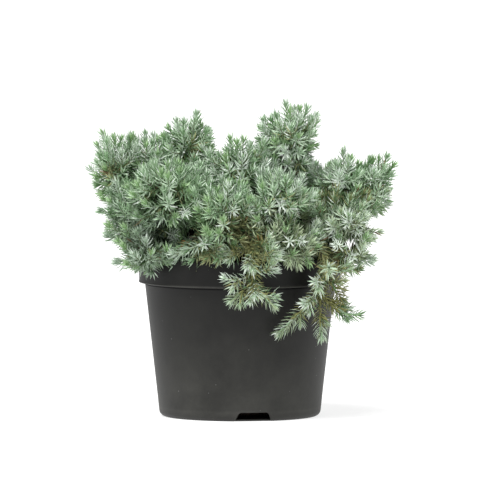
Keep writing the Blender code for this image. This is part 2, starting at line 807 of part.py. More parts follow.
def round_mass(stem, centre, reach, share, lift, seed, planes, blocked):
    """The core and the sprays of a rounded mass."""
    rng = random.Random(SEED + seed)
    centre = Vector(centre)
    reach = Vector(reach) * REACH_SCALE
    core = core_shape(centre, reach, share * CORE_SCALE, planes, rng)
    while hits(core, blocked):
        core = ([centre.lerp(v, CORE_SHRINK) for v in core[0]], core[1])
    twigs = mass_twigs(centre, reach, (centre - CROWN_HEART).normalized(), rng)
    twigs.append((stem[0][-2], centre))
    return core, mass_sprays(centre, reach, lift, core, twigs, planes, blocked, rng)


def grow_masses(limbs, boughs, leaf):
    """Every foliage mass, each in its own space and clear of every limb but its own stem."""
    centres, stems, thick = plan_masses(boughs)
    for name in list(MASSES) + list(HANGING):
        planes = cell_planes(centres, name)
        blocked = tree_of(limbs + [pot_shell()] + [part for other, part in thick.items() if other != name])
        stem = tube(*stems[name], STEM_SIDES)
        if name in MASSES:
            core, parts = round_mass(stems[name], *MASSES[name][1:], planes, blocked)
            item = fuse(name, core, [stem] + parts)
        else:
            item = fuse(name, stem, hanging_sprays(name, stems[name], planes, blocked))
        item.data.materials.clear()
        item.data.materials.append(leaf)


def hanging_sprays(name, stem, planes, blocked):
    """The twigs of a hanging mass, from points along its stem to their named tips."""
    path = stem[0][-len(HANGING[name][1]):]
    allowed = needle_test(planes, blocked)
    rng = random.Random(SEED)
    parts = []
    for share, tip in HANGING[name][3]:
        place = share * (len(path) - 1)
        step = min(int(place), len(path) - 2)
        root = path[step].lerp(path[step + 1], place - step) + shaken(rng, ROOT_SHAKE)
        turned = rng.uniform(0, math.tau)
        for shorten in HANGING_TRIES:
            part = spray(root, root.lerp(Vector(tip), shorten), SPRAY_START, turned, HANGING_SIZE, allowed)
            if fits(part[0][1:], part, planes, blocked):
                parts.append(part)
                break
    return parts


def build():
    clear_scene()
    plastic = make_material("pot_plastic", (0.045, 0.045, 0.043), 0.55)
    earth = make_material("soil", (0.028, 0.020, 0.013), 0.95)
    bark = make_material("bark", (0.16, 0.10, 0.06), 0.9)
    leaf = make_material("needles", (0.20, 0.30, 0.19), 0.75)
    pot = make_pot()
    pot.data.materials.append(plastic)
    pot.data.polygons.foreach_set("use_smooth", [True] * len(pot.data.polygons))
    soil = make_soil()
    soil.data.materials.append(earth)
    trunk_part = make_trunk()
    trunk = add_object("trunk", *trunk_part, mat=bark, smooth=True)
    tidy_mesh(trunk)
    limbs = [trunk_part]
    boughs = {}
    for name in BOUGHS:
        path, radii = bough_path(name, trunk_part)
        boughs[name] = tube(path, radii, LIMB_SIDES)
        tidy_mesh(add_object("bough_" + name, *boughs[name], mat=bark, smooth=True))
        limbs.append(tube(path, [r + CLEARANCE for r in radii], LIMB_SIDES))
    grow_masses(limbs, boughs, leaf)


build()
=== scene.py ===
"""Looks of the potted juniper: bark, twigs, needles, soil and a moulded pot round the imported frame.

Lengths are in millimetres until the meshes are made, which are in metres. The plant grows by the
same rule as its solids, from the same boughs, spaces and seeds, and is carried on to finer shoots.
"""
import math
import random

import bmesh
import bpy
import numpy as np
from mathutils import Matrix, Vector, noise


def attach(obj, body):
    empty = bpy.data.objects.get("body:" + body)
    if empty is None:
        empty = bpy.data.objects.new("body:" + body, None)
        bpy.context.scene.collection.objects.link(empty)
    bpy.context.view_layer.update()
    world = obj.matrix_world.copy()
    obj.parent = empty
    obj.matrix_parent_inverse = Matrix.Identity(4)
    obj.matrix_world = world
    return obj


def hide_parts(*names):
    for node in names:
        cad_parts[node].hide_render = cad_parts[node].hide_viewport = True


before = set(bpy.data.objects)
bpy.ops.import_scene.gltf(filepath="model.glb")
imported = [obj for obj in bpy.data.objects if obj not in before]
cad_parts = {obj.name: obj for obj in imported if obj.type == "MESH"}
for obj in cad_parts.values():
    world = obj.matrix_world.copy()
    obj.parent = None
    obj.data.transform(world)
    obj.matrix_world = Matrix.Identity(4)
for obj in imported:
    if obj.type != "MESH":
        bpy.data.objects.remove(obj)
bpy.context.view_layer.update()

MM = 0.001
UP = Vector((0.0, 0.0, 1.0))
GOLDEN_ANGLE = math.pi * (3 - math.sqrt(5))

# Camera, in metres: a long lens, a little above the pot's rim, framed as in the photograph.
CAMERA_AIM = Vector((0.0, 0.0, 0.1657))
CAMERA_FAR = 12.0
CAMERA_CLIP = 300.0
CAMERA_TILT_DEG = 3.8
VIEW_WIDTH = 0.4519
SENSOR = 36.0

# Light: an even white studio and one broad soft key from the upper left front.
WORLD_LIGHT = 0.435
KEY_LIGHT = 4.05
KEY_SOFT_DEG = 36.0
KEY_FROM = Vector((-0.30, -0.55, 1.30))
FLOOR_HALF = 80.0
FLOOR_COLOUR = 0.38
FLOOR_GLOW = 0.78

# Pot: a tapered wall with a rounded foot, and a band at the rim with a groove under it.
FOOT_R = 75.4
WALL_SLOPE = 0.1126
WALL_T = 1.3
BASE_T = 2.5
CORNER_R = 6.2
CORNER_STEPS = 10
FLAT_SHARE = 0.5
WALL_Z = (20.0, 60.0, 100.0)
WALL_RINGS = 12
INNER_CORNER_DEG = -75.0
INNER_CORNER_STEPS = 5
BAND_Z = 126.3
BAND_R = 95.0
BAND_EDGE = 0.9
BAND_EDGE_TO_DEG = 40.0
BAND_EDGE_STEPS = 8
BAND_LIP = 0.35
BAND_FOOT = 2.4
GROOVE_H = 1.5
GROOVE_DEEP = 0.8
GROOVE_EDGE = 0.3
POT_H = 151.0
RIM_EDGE = 0.5
RIM_EDGE_STEPS = 4
RIM_INNER_EDGE = 0.4
RIM_INNER_STEPS = 3
POT_SEGMENTS = 144
MERGE_DISTANCE = 1e-6
POT_SHARP_DEG = 28.0
NOTCH_COUNT = 3
NOTCH_FIRST_DEG = -80.2
NOTCH_H = 8.6
NOTCH_BOTTOM_W = 35.0
NOTCH_TOP_W = 27.5
NOTCH_CORNER_R = 2.2
NOTCH_CORNER_STEPS = 5
NOTCH_INNER_R = 66.0
NOTCH_OUTER_R = 92.0
NOTCH_BELOW = 1.0
# The dusty veil on it, with painted light and shade: paler towards the foot where it is dustier, darker high on
# the wall and on the band as painted shade from the crown, nearly black in the groove under the band as a
# painted shadow, and pale on the band's lower edge as a painted highlight. Each is a height, and how pale the
# plastic is there.
DUST_AND_PAINTED_LIGHT = ((0.0, 0.022), (4.0, 0.030), (8.5, 0.038), (10.5, 0.030), (30.0, 0.026), (60.0, 0.017), (100.0, 0.009),
        (123.8, 0.007), (124.5, 0.002), (126.0, 0.002), (126.2, 0.045), (127.4, 0.030), (128.4, 0.006),
        (151.0, 0.005))
DUST_AND_PAINTED_LIGHT_TOP = 160.0
DUST_AND_PAINTED_LIGHT_TINT = (1.0, 0.995, 0.88)
POT_SPECULAR = 0.27

# Soil, with lumps and crumbs as (size, roughness, lacunarity, octaves) and a height for each.
SOIL_TOP = 138.0
SOIL_GAP = 0.5
SOIL_EDGE = 2.5
SOIL_SHOULDER = 1.0
SOIL_TOP_SKIN = 0.1
SOIL_FOOT_IN = 24.0  # and as far up, so its foot slopes in halfway between flat and upright
SOIL_RINGS = 70
SOIL_SEGMENTS = 150
LUMPS = (16.0, 0.8, 2.1, 4)
LUMP_H = 1.3
LUMP_EDGE = 6.0
CRUMBS = (3.2, 1.0, 2.0, 3)
CRUMB_H = 0.9
# Chips of bark on it: a rough box each, longer than wide, and wider than thick.
CHIPS = 420
CHIP_SIZES = (1.2, 4.2)
CHIP_RISE = (0.0, 1.1)
CHIP_TILT = 0.3
CHIP_WIDE = 0.6
CHIP_THICK = 0.4
CHIP_SHAKE = 0.12
CHIP_EDGE = 4.0
CHIP_TRUNK_CLEAR = 12.0
CHIP_SHAPE = ((-1, -0.5, 0.3), (-0.7, 0.6, 0.4), (0.8, 0.5, 0.35), (1, -0.4, 0.3),
              (-0.9, -0.4, -0.4), (-0.8, 0.5, -0.3), (0.9, 0.4, -0.35), (0.9, -0.5, -0.4))
CHIP_FACES = ((0, 3, 2, 1), (4, 5, 6, 7), (0, 1, 5, 4), (1, 2, 6, 5), (2, 3, 7, 6), (3, 0, 4, 7))
CHIP_TRIANGLES = 2 * len(CHIP_FACES)
PALE_CHIP_EVERY = 3

# Trunk, as in the solids, with a flare in lobes at its foot.
TRUNK_FOOT = Vector((-2.0, 4.0, SOIL_TOP - 1.5))
TRUNK_TOP = Vector((1.5, 2.0, 171.0))
TRUNK_FOOT_R = 7.2
TRUNK_TOP_R = 4.6
TRUNK_RINGS = 24
TRUNK_SIDES = 32
FLARE_H = 9.0
FLARE_EXTRA = 4.2
FLARE_LOBES = 5
FLARE_PLAIN = 0.6
# Boughs, as in the solids: share up the trunk, tip, root radius, tip radius, sag.
BOUGHS = {
    "left": (0.40, (-74, -12, 187), 3.0, 1.9, 5.0),
    "left_high": (0.78, (-52, -22, 213), 2.6, 1.7, 4.0),
    "front": (0.42, (-3, -56, 173), 2.8, 1.8, -3.0),
    "centre": (1.00, (-2, 6, 212), 2.7, 1.7, 0.0),
    "right_high": (0.80, (36, -26, 214), 2.8, 1.8, 4.0),
    "right": (0.48, (84, -14, 197), 3.0, 1.9, 5.0),
    "right_front": (0.30, (58, -52, 167), 2.6, 1.8, -2.0),
    "back_left": (0.55, (-48, 46, 184), 2.8, 1.8, 4.0),
    "back": (0.35, (0, 62, 182), 2.8, 1.8, 2.0),
    "back_right": (0.60, (46, 46, 184), 2.8, 1.8, 4.0),
}
BOUGH_RISE = 0.25
BOUGH_ROOT_OUT = 0.3
BOUGH_COLLAR = 0.9
BOUGH_COLLAR_POWER = 6
BOUGH_RINGS = 30
BOUGH_SIDES = 16
BARK_GRAIN = (3.0, 3.0, 7.0)
BARK_FRACTAL = (0.9, 2.2, 4)
BARK_RELIEF = 0.45

# Masses, as in the solids: bough, centre, reach of the tips along x, y and z, lift, seed.
MASSES = {
    "left_outer": ("left", (-114, 0, 234), (30, 34, 36), 0.5, 203),
    "left_upper": ("left_high", (-83, 8, 239), (30, 32, 31), 0.6, 301),
    "left_low": ("left", (-97, -32, 188), (37, 35, 32), 0.1, 280),
    "left_rim": ("left", (-89, -56, 157), (34, 28, 19), -0.2, 308),
    "left_crest": ("left_high", (-46, 5, 256), (33, 34, 33), 0.5, 287),
    "left_front": ("left_high", (-70, -55, 217), (36, 32, 32), 0.3, 315),
    "inner_left": ("front", (-40, -32, 206), (30, 27, 29), 0.2, 266),
    "centre_front": ("front", (-16, -84, 200), (36, 28, 30), 0.1, 329),
    "centre_low": ("front", (-36, -80, 174), (35, 29, 24), -0.1, 308),
    "centre_mid": ("centre", (-3, -32, 236), (34, 30, 31), 0.5, 385),
    "right_crest": ("right_high", (46, -5, 262), (35, 34, 39), 0.6, 245),
    "right_front": ("right_high", (38, -70, 210), (36, 28, 30), 0.2, 28),
    "inner_right": ("right_front", (52, -38, 190), (29, 26, 25), 0.0, 42),
    "right_upper": ("right", (97, -8, 222), (32, 34, 34), 0.5, 308),
    "right_outer": ("right", (124, 0, 218), (26, 28, 32), 0.4, 14),
    "right_low": ("right", (101, -36, 186), (36, 33, 27), 0.0, 357),
    "right_arm": ("right_front", (104, -50, 158), (30, 26, 18), 0.0, 385),
    "right_rim": ("right_front", (42, -80, 172), (35, 29, 23), -0.1, 322),
    "centre_back": ("centre", (10, 34, 219), (35, 32, 30), 0.5, 406),
    "inner_back": ("centre", (-30, 40, 202), (27, 27, 27), 0.3, 189),
    "side_left": ("back_left", (-84, 30, 182), (34, 33, 28), 0.1, 70),
    "side_right": ("back_right", (84, 30, 180), (34, 33, 27), 0.1, 84),
    "back_left": ("back_left", (-62, 60, 214), (38, 36, 33), 0.4, 126),
    "back_low_left": ("back_left", (-70, 70, 170), (38, 34, 25), 0.0, 252),
    "back_centre": ("back", (0, 92, 206), (36, 36, 34), 0.4, 203),
    "back_mid_left": ("back", (-35, 86, 184), (27, 26, 25), 0.1, 308),
    "back_mid_right": ("back", (37, 84, 184), (27, 26, 25), 0.1, 315),
    "back_low": ("back", (2, 104, 166), (36, 28, 20), -0.1, 56),
    "back_right": ("back_right", (62, 62, 212), (38, 36, 32), 0.4, 238),
    "back_low_right": ("back_right", (70, 72, 168), (38, 34, 24), 0.0, 364),
}

# Hanging masses, as in the solids: bough, stem path, radius, and shoots as (share down the stem, tip, kind).
HANGING = {
    "front_hanging": (
        "front",
        ((6, -82, 172), (12, -99, 162), (13, -105, 142), (12, -104, 127)),
        33.0,
        ((0.20, (-19, -104, 166), "usual"), (0.24, (33, -104, 168), "usual"),
         (0.46, (38, -114, 157), "usual"), (0.35, (5, -118, 146), "pale"), (0.64, (-18, -116, 140), "pale"),
         (0.69, (37, -112, 145), "pale"), (0.84, (-11, -110, 114), "usual"), (0.89, (35, -110, 109), "usual"),
         (0.79, (13, -120, 119), "pale"), (0.95, (9, -112, 113), "usual")),
    ),
    "right_hanging": (
        "right_front",
        ((72, -66, 167), (80, -74, 152), (78, -78, 138), (73, -80, 121)),
        31.0,
        ((0.90, (34, -92, 82), "usual"), (0.97, (77, -80, 76), "usual"), (0.98, (115, -68, 101), "green"),
         (0.99, (103, -72, 95), "green"), (0.97, (101, -66, 103), "green"),
         (0.60, (98, -72, 112), "old"), (0.84, (57, -104, 114), "pale"), (0.66, (96, -88, 132), "old"),
         (0.55, (84, -98, 146), "usual"), (0.62, (68, -100, 135), "pale"), (0.45, (106, -80, 146), "usual")),
    ),
}

# Shoots with a place of their own. Leaders make the crown's outline, each as its tip and the way it points.
LEADERS = {
    "left_outer": (
        (-131, -5, 270, -0.35, -0.1, 1), (-126, -24, 264, -0.1, -0.2, 1), (-119, -10, 267, 0, -0.1, 1),
        (-112, 10, 265, 0.1, 0, 1), (-136, 0, 259, -0.5, 0, 1), (-134, -6, 250, -0.6, -0.05, 0.8),
        (-135, -8, 238, -0.75, -0.1, 0.75), (-138, -2, 228, -0.95, 0, 0.55), (-138, -8, 219, -0.95, 0, 0.3),
        (-133, -12, 211, -0.9, -0.2, 0.2), (-130, -16, 232, -0.7, -0.5, 0.6),
    ),
    "left_upper": (
        (-105, 0, 265, -0.05, 0, 1), (-98, -11, 258, 0, -0.2, 1), (-91, 5, 263, 0, 0, 1),
        (-82, -5, 262, 0.1, -0.1, 1),
    ),
    "left_crest": (
        (-74, -6, 267, -0.45, -0.1, 0.9), (-69, 0, 275, -0.35, 0, 1), (-60, -12, 278, -0.2, -0.1, 1),
        (-53, 0, 282, 0, -0.1, 1), (-42, -8, 284, 0.12, -0.1, 1), (-35, 8, 276, 0.3, 0, 1),
        (-29, 0, 273, 0.45, -0.1, 0.9), (-25, -5, 264, 0.7, -0.1, 0.7), (-24, -8, 254, 0.8, -0.2, 0.5),
    ),
    "centre_mid": (
        (-15, -32, 256, -0.5, -0.1, 0.8), (-10, -30, 267, -0.15, -0.1, 1), (-3, -39, 264, 0, -0.2, 1),
        (4, -28, 266, 0.1, -0.1, 1), (10, -38, 261, 0.2, -0.1, 1),
    ),
    "right_crest": (
        (15, -8, 264, -0.6, -0.1, 0.8), (18, -8, 275, -0.35, -0.1, 1), (21, 5, 283, -0.3, 0, 1),
        (28, -14, 284, -0.2, -0.2, 1), (34, 0, 286, -0.12, 0, 1), (43, -8, 299, 0, -0.05, 1),
        (51, 8, 293, 0.05, 0, 1), (56, -12, 294, 0.05, -0.1, 1), (64, 0, 294, 0.15, 0, 1),
        (74, -5, 287, 0.6, -0.1, 1), (72, -10, 268, 0.8, -0.1, 0.5), (75, -8, 256, 1, -0.1, 0.1),
        (68, -11, 245, 0.8, -0.2, 0.5),
    ),
    "right_upper": (
        (76, -5, 231, -0.2, -0.1, 1), (82, -10, 234, -0.2, -0.1, 1), (89, 0, 239, 0, 0, 1),
        (93, 2, 242, 0, 0, 1), (97, -8, 254, 0.02, -0.05, 1), (74, -24, 224, -0.1, -0.4, 1),
        (84, -28, 230, 0, -0.4, 1), (68, -28, 210, -0.3, -0.5, 0.9), (80, -34, 213, 0, -0.5, 0.9),
        (105, -14, 247, 0.15, -0.2, 1), (112, 0, 241, 0.1, 0, 1),
    ),
    "right_outer": (
        (124, -8, 246, -0.05, -0.1, 1), (131, 5, 246, 0.05, 0, 1), (139, -5, 249, 0.15, 0, 1),
        (147, 0, 240, 0.6, 0, 0.9), (146, -4, 230, 0.75, 0, 0.75), (141, -8, 212, 0.9, -0.1, 0.5),
        (143, -5, 203, 1, -0.1, 0.1),
    ),
    "right_low": (
        (136, -14, 197, 0.9, -0.3, 0), (128, -20, 191, 0.85, -0.3, -0.15), (135, -36, 176, 0.95, -0.1, 0.12),
        (126, -34, 175, 0.95, -0.1, 0.15), (129, -42, 169, 0.95, -0.2, 0), (117, -38, 166, 0.8, -0.3, 0.2),
    ),
    "right_arm": (
        (129, -48, 153, 0.9, -0.1, 0.3), (122, -42, 155, 0.85, -0.2, 0.4), (127, -52, 148, 0.95, -0.2, 0.05),
        (113, -49, 148, 0.8, -0.2, -0.15),
    ),
    "left_low": (
        (-135, -25, 196, -0.95, -0.1, 0.2), (-132, -18, 207, -0.95, -0.1, 0.35),
        (-127, -29, 183, -0.9, -0.2, 0.3), (-128, -28, 175, -0.95, -0.1, 0.05),
        (-115, -29, 168, -0.8, -0.2, -0.3),
    ),
    "left_rim": (
        (-117, -50, 149, -0.95, -0.1, -0.05), (-104, -54, 144, -0.7, -0.2, -0.4),
        (-99, -52, 140, -0.45, -0.2, -0.8), (-63, -82, 150, 0.85, -0.35, -0.1),
        (-80, -78, 146, 0.3, -0.6, -0.4),
    ),
    "centre_low": (
        (-36, -104, 154, -0.95, -0.2, -0.15), (-55, -100, 161, -0.95, -0.2, -0.25),
        (-24, -106, 151, -0.7, -0.3, -0.5),
    ),
    "right_rim": (
        (46, -104, 147, 0, -0.6, -0.6), (56, -102, 145, 0.15, -0.55, -0.7), (67, -95, 147, 0.35, -0.5, -0.6),
    ),
}
# Pale shoots seen from their tips.
STARS = {
    "left_front": ((-50, -98, 196), (-38, -98, 204)),
    "left_low": ((-60, -60, 174),),
    "centre_low": ((-33, -108, 167), (-8, -84, 152)),
    "centre_front": ((-4, -110, 201), (12, -101, 199), (0, -90, 162)),
    "right_front": ((38, -98, 204), (26, -89, 191), (51, -91, 193)),
    "right_rim": ((59, -105, 171), (47, -109, 171), (37, -103, 159)),
    "right_low": ((88, -63, 174), (99, -66, 184), (112, -62, 176)),
    "right_arm": ((88, -77, 168), (106, -72, 154)),
}
# Open depths between the shoots, as x, y, z, radius, and how far in and out of them no shoot may pass.
HOLLOWS = (
    (-103, -32, 232, 3), (-78, -86, 212, 3), (-56, -83, 207, 2), (-71, -70, 177, 7), (-44, -37, 176, 3),
    (14, -51, 217, 3), (61, -88, 194, 6), (-46, -90, 173, 8),
)
HOLLOW_CLEAR = 4.5
HOLLOW_IN = 30.0
HOLLOW_OUT = 40.0
# Clear sky beside the crown's outline, as x, z, radius: no shoot grows into it.
SKY = (
    (-19, 260, 5), (-22, 276, 4), (12, 266, 2), (80, 252, 9), (90, 252, 4), (115, 250, 5), (79, 272, 3),
    (148, 221, 3), (147, 206, 3), (103, 165, 3), (130, 183, 6), (122, 184, 2), (138, 184, 6), (123, 163, 2),
    (128, 160, 5), (137, 162, 6), (-120, 161, 5), (36, 298, 4), (-77, 274, 4), (74, 245, 3),
)
SKY_CLEAR = 4.0

# Pieces: which masses are joined into which piece.
GROUPS = {
    "left": ("left_outer", "left_upper", "left_low", "left_rim"),
    "left_inner": ("left_crest", "left_front", "inner_left"),
    "centre": ("centre_front", "centre_low", "centre_mid"),
    "heart": ("centre_back", "inner_back", "inner_right"),
    "right_inner": ("right_crest", "right_front", "right_rim"),
    "right": ("right_upper", "right_outer", "right_low", "right_arm"),
    "back_left": ("back_left", "back_low_left", "back_mid_left", "side_left"),
    "back_right": ("back_right", "back_low_right", "back_mid_right", "side_right"),
    "back": ("back_centre", "back_low"),
    "hanging": ("front_hanging", "right_hanging"),
}

# Growth rule: twigs from the stem's end, and their stems from the boughs' tips.
SEED = 4100
GROUP_SEED = 7
WAY_SHAKE = 0.08
INWARD_LIMIT = -0.85
NEIGHBOUR_REACH = 1.6
CROWN_HEART = Vector((0.0, 0.0, 168.0))
TWIG_COUNT = 7
TWIG_CANDIDATES = 40
TWIG_SHARE = 0.55
TWIG_SPACING = 0.5
TWIG_INWARD_LIMIT = -0.3
TWIG_ROOM = (0.1, 0.93)
TWIG_SAG = 0.08
TWIG_RADII = (1.1, 0.6)
STEM_RADII = (1.5, 1.1)
STEM_BEND = 5.0
STEM_PUSHES = 30
STEM_PUSH = 0.05
STEM_PART_COS = 0.3
STEM_SMOOTHINGS = 3
LIMB_POINTS = 10
LIMB_PLACES = np.linspace(0, 1, LIMB_POINTS)[:, None]
LIMB_SIDES = 7

# Shoots: spacing of the tips, lengths to try from the surface inward, and which way they aim.
SHOOT_CANDIDATES = 560
SHOOT_SPACING = 11.7
SHOOT_TRIES = (1.0, 0.93, 0.86, 0.78, 0.68, 0.56)
SHOOT_SPREAD = (-0.13, 0.02)
SHOOT_LEAN = 0.9
SHOOT_LEAFY = (30.0, 42.0)
SHOOT_LEAFY_LIMIT = 0.95
SHOOT_HOLD = 0.6
SHOOT_CHECKS = np.linspace(0.35, 1.0, 5)[:, None]
YOUNG_PLACES = np.array([0.0, 0.3, 0.6, 0.9])[:, None]
YOUNG_RADII = (0.75, 0.6, 0.5, 0.35)
YOUNG_SIDES = 3
LEADER_LEAFY = 36.0
STAR_LEAFY = 20.0
STAR_OUT = 0.6
STAR_FRONT = Vector((0.0, -0.8, 0.0))
STAR_SHAKE = 0.2
AIM_OWN = 0.42
AIM_OUT = 0.38
AIM_UP = 0.86
AIM_UP_PER_LIFT = 0.85
AIM_DEPTH = 0.44
AIM_SHAKE = 0.10
AIM_HEART = Vector((0.0, 0.0, 110.0))
FALL_LIMIT = -0.45
POT_CLEAR = 1.2
NEEDLE_POT_CLEAR = 0.3
CELL_CLEAR = -4.0
# The masses blend into one crown: how sharply, and how far out from each its surface is looked for.
BLEND = 2.2
BLEND_REACH = 1.42
BLEND_STEPS = 22
BURIED = 1.9

# Hanging shoots: how they bend, and the short side shoot that each bears where it has room.
HANGING_LEAFY = 0.93
HANGING_ROUNDS = 2
HANGING_RISE = 0.10
HANGING_SAG = 0.07
HANGING_SAG_ACROSS = 0.30
ACROSS_FROM = 0.85
SIDE_AT = 0.45
SIDE_LONG = 15.0
SIDE_ROOM = 0.75
SIDE_OUT = (-0.1, 0.6)
SIDE_TURN = 0.9
SIDE_LEAFY = 0.9

# Needles, in whorls. Lengths and angles from the shoot are those at its foot, near its tip and at it.
WHORL_NEEDLES = 3
WHORL_PITCH = 2.0
WHORL_CROWD = 1.25
LEAST_WHORLS = 4
LEAFY_SHARE = 0.985
LEAST_PLACE = 0.02
NEEDLE_AT = (0.0, 0.70, 1.0)
NEEDLE_LENGTHS = (9.0, 11.2, 9.2)
NEEDLE_ANGLES = (57.0, 46.0, 27.0)
LENGTH_SCATTER = (0.86, 1.1)
TURN_SCATTER = 0.10
ANGLE_SCATTER = 3.6
NEEDLE_OFF = 0.3
NEEDLE_WIDTH = 1.40
NEEDLE_WIDE_LENGTH = 8.5
NEEDLE_WIDE_RANGE = (0.75, 1.1)
NEEDLE_FOOT_WIDTH = 0.7
NEEDLE_KEEL = 0.5
NEEDLE_MIDDLE = 0.48
NEEDLE_BEND = 0.06
BUD_LENGTHS = (5.6, 8.2)
BUD_ANGLES = (5.0, 19.0)
BUD_SHORT = 5.0
# Kinds of shoots: needles in the bud, how much longer the needles are, how much further out they turn, and
# how much broader they are. Those of the crown are crown and star; the rest hang.
KINDS = {
    "crown": (5, 1.0, 0.0, 1.0),
    "star": (5, 0.78, 24.0, 0.72),
    "stem": (0, 1.10, 6.0, 1.0),
    "usual": (5, 1.10, 6.0, 1.0),
    "green": (5, 1.10, 6.0, 1.0),
    "old": (5, 1.10, 6.0, 1.0),
    "pale": (5, 0.92, 6.0, 1.0),
}
# A needle's corners: two rings of left, right and keel, then the tip. The first faces are its inner side.
NEEDLE_POINTS = 7
NEEDLE_FACES = np.array([(0, 3, 1), (1, 3, 4), (3, 6, 4), (0, 2, 3), (3, 2, 5), (3, 5, 6), (1, 4, 2), (2, 4, 5),
                         (4, 6, 5)])
NEEDLE_SIDES = np.array([0, 0, 0, 1, 1, 1, 1, 1, 1])

# Colours of the needles' inner and outer sides. The first five tones run from light to dark.
TONES = {
    "frost": ((0.75, 0.83, 0.745), (0.46, 0.555, 0.445)),
    "silver": ((0.575, 0.72, 0.54), (0.295, 0.43, 0.265)),
    "grey": ((0.412, 0.58, 0.378), (0.205, 0.34, 0.178)),
    "green": ((0.262, 0.415, 0.222), (0.114, 0.21, 0.09)),
    "deep": ((0.11, 0.195, 0.08), (0.045, 0.09, 0.032)),
    "fresh": ((0.42, 0.59, 0.34), (0.23, 0.375, 0.17)),
    "olive": ((0.35, 0.375, 0.19), (0.20, 0.22, 0.095)),
    "brown": ((0.24, 0.17, 0.09), (0.17, 0.11, 0.055)),
    "straw": ((0.45, 0.455, 0.215), (0.255, 0.26, 0.10)),
    "dusty": ((0.50, 0.575, 0.41), (0.265, 0.335, 0.195)),
    "dull": ((0.31, 0.385, 0.215), (0.145, 0.195, 0.085)),
    "rust": ((0.36, 0.20, 0.065), (0.24, 0.12, 0.04)),
    "cream": ((0.60, 0.70, 0.51), (0.32, 0.42, 0.25)),
    "mist": ((0.61, 0.705, 0.60), (0.33, 0.425, 0.32)),
    "teal": ((0.45, 0.56, 0.435), (0.235, 0.33, 0.22)),
    "shade": ((0.295, 0.395, 0.262), (0.13, 0.196, 0.11)),
}
(FROST, SILVER, GREY, GREEN, DEEP, FRESH, OLIVE, BROWN,
 STRAW, DUSTY, DULL, RUST, CREAM, MIST, TEAL, SHADE) = range(len(TONES))
NEEDLE_ROUGH = (0.6, 0.55)
NEEDLE_SPECULAR = 0.35
# Lightness of a shoot, in tones: higher up it is lighter as painted light, it differs in patches, and within
# the crown it is darker as painted shade.
LIT_FROM = 165.0
LIT_OVER = 110.0
LIT_TONE = 0.50
MIDDLE_LIGHT = 0.55
MIDDLE_TONE = SILVER + 0.9
PATCH_SIZE = 24.0
PATCH_TONE = 0.60
BURIED_TONE = 0.5
SHOOT_SCATTER = 0.40
TONE_SCATTER = 0.42
PALE_SIDE = 0.85
PALE_SIDE_X = 72.0
PALE_SIDE_Z = 205.0
# Painted light and shade on parts of the crown: how many tones lighter, and where that begins, is full and
# ends.
PAINTED_LIGHT_AND_SHADE = (
    (-0.42, (-200.0, -199.0, 78.0, 92.0), (0.0, 1.0, 185.0, 205.0)),
    (0.3, (-42, -18, 84, 98), (204, 224, 250, 262)),
    (-0.8, (-142, -138, -36, -20), (180, 189, 206, 215)),
    (-0.55, (-60, -52, -6, 4), (156, 164, 182, 190)),
    (-0.6, (22, 30, 56, 64), (156, 164, 182, 190)),
    (-0.35, (22, 32, 84, 94), (182, 190, 204, 212)),
    (-0.55, (-64, -56, -30, -22), (200, 208, 230, 236)),
    (-0.4, (-8, 0, 28, 36), (200, 208, 230, 236)),
    (0.45, (-36, -28, 28, 36), (226, 234, 252, 260)),
    (0.45, (48, 56, 86, 94), (226, 234, 252, 260)),
    (-0.35, (-146, -142, -122, -112), (200, 206, 216, 222)),
)
RISE_AND_FALL = (0.0, 1.0, 1.0, 0.0)
# Along a shoot: its old foot is darker, with age and as painted shade, and partly olive, some tips are fresh,
# and a few needles are brown.
OLD_SHARE = (0.2, 0.45)
OLD_AND_SHADE_TONE = 1.5
OLD_AND_SHADE_LIGHTEST = GREEN - 0.3
OLD_OLIVE = 0.18
FRESH_SHOOTS = 0.35
FRESH_FROM = (0.75, 0.95)
BROWN_NEEDLES = 0.004
# Low in the crown the tones turn dusty at the right and bluer at the left.
DUSTY_FROM = 222.0
DUSTY_OVER = 38.0
TURNED_TONES = (
    ((-45.0, 0.0), (0.0, 1.0), ((SILVER, CREAM), (GREY, DUSTY), (GREEN, DULL))),
    ((-60.0, -20.0), (1.0, 0.0), ((SILVER, MIST), (GREY, TEAL), (GREEN, SHADE))),
)
# Where the needles are old and partly in painted shade, turning green with age and shade and dark as painted
# shade: x, y, z, radius, and the shares of them that are olive and rust brown.
OLD_AND_SHADED_SPOTS = (
    (-1, -98, 183, 14, 0.75, 0), (12, -100, 167, 13, 0.8, 0), (14, -100, 168, 7, 0.5, 0.3),
    (-43, -30, 254, 8, 0.6, 0), (-120, -36, 230, 7, 0.5, 0), (45, -32, 265, 5, 0.6, 0),
    (53, -30, 234, 8, 0.4, 0), (84, -42, 206, 12, 0.5, 0), (98, -40, 206, 9, 0.4, 0),
    (118, -30, 211, 7, 0.5, 0), (88, -74, 152, 13, 0.75, 0), (103, -58, 137, 13, 0.5, 0),
    (-74, -74, 176, 10, 0.3, 0.1), (40, -85, 202, 15, 0.15, 0), (-52, -90, 172, 8, 0.3, 0.07),
    (-30, -98, 155, 12, 0.7, 0), (62, -92, 190, 8, 0.4, 0.15),
)
SPOT_DEPTH = 30.0
SPOT_REACH = (0.7, 1.1)
# Shares turned green, with age and as painted shade, and dark, as painted shade.
OLD_AND_SHADE_GREEN = (0.25, 0.6)
SPOT_PAINTED_SHADE = 0.16
OLD_BROWN_FROM = 0.97
# Pale shoots: the share of their needles that is frost, and the foot that is olive or green.
STAR_FROST = 0.75
STAR_FOOT = 0.3
STAR_OLIVE = 0.5
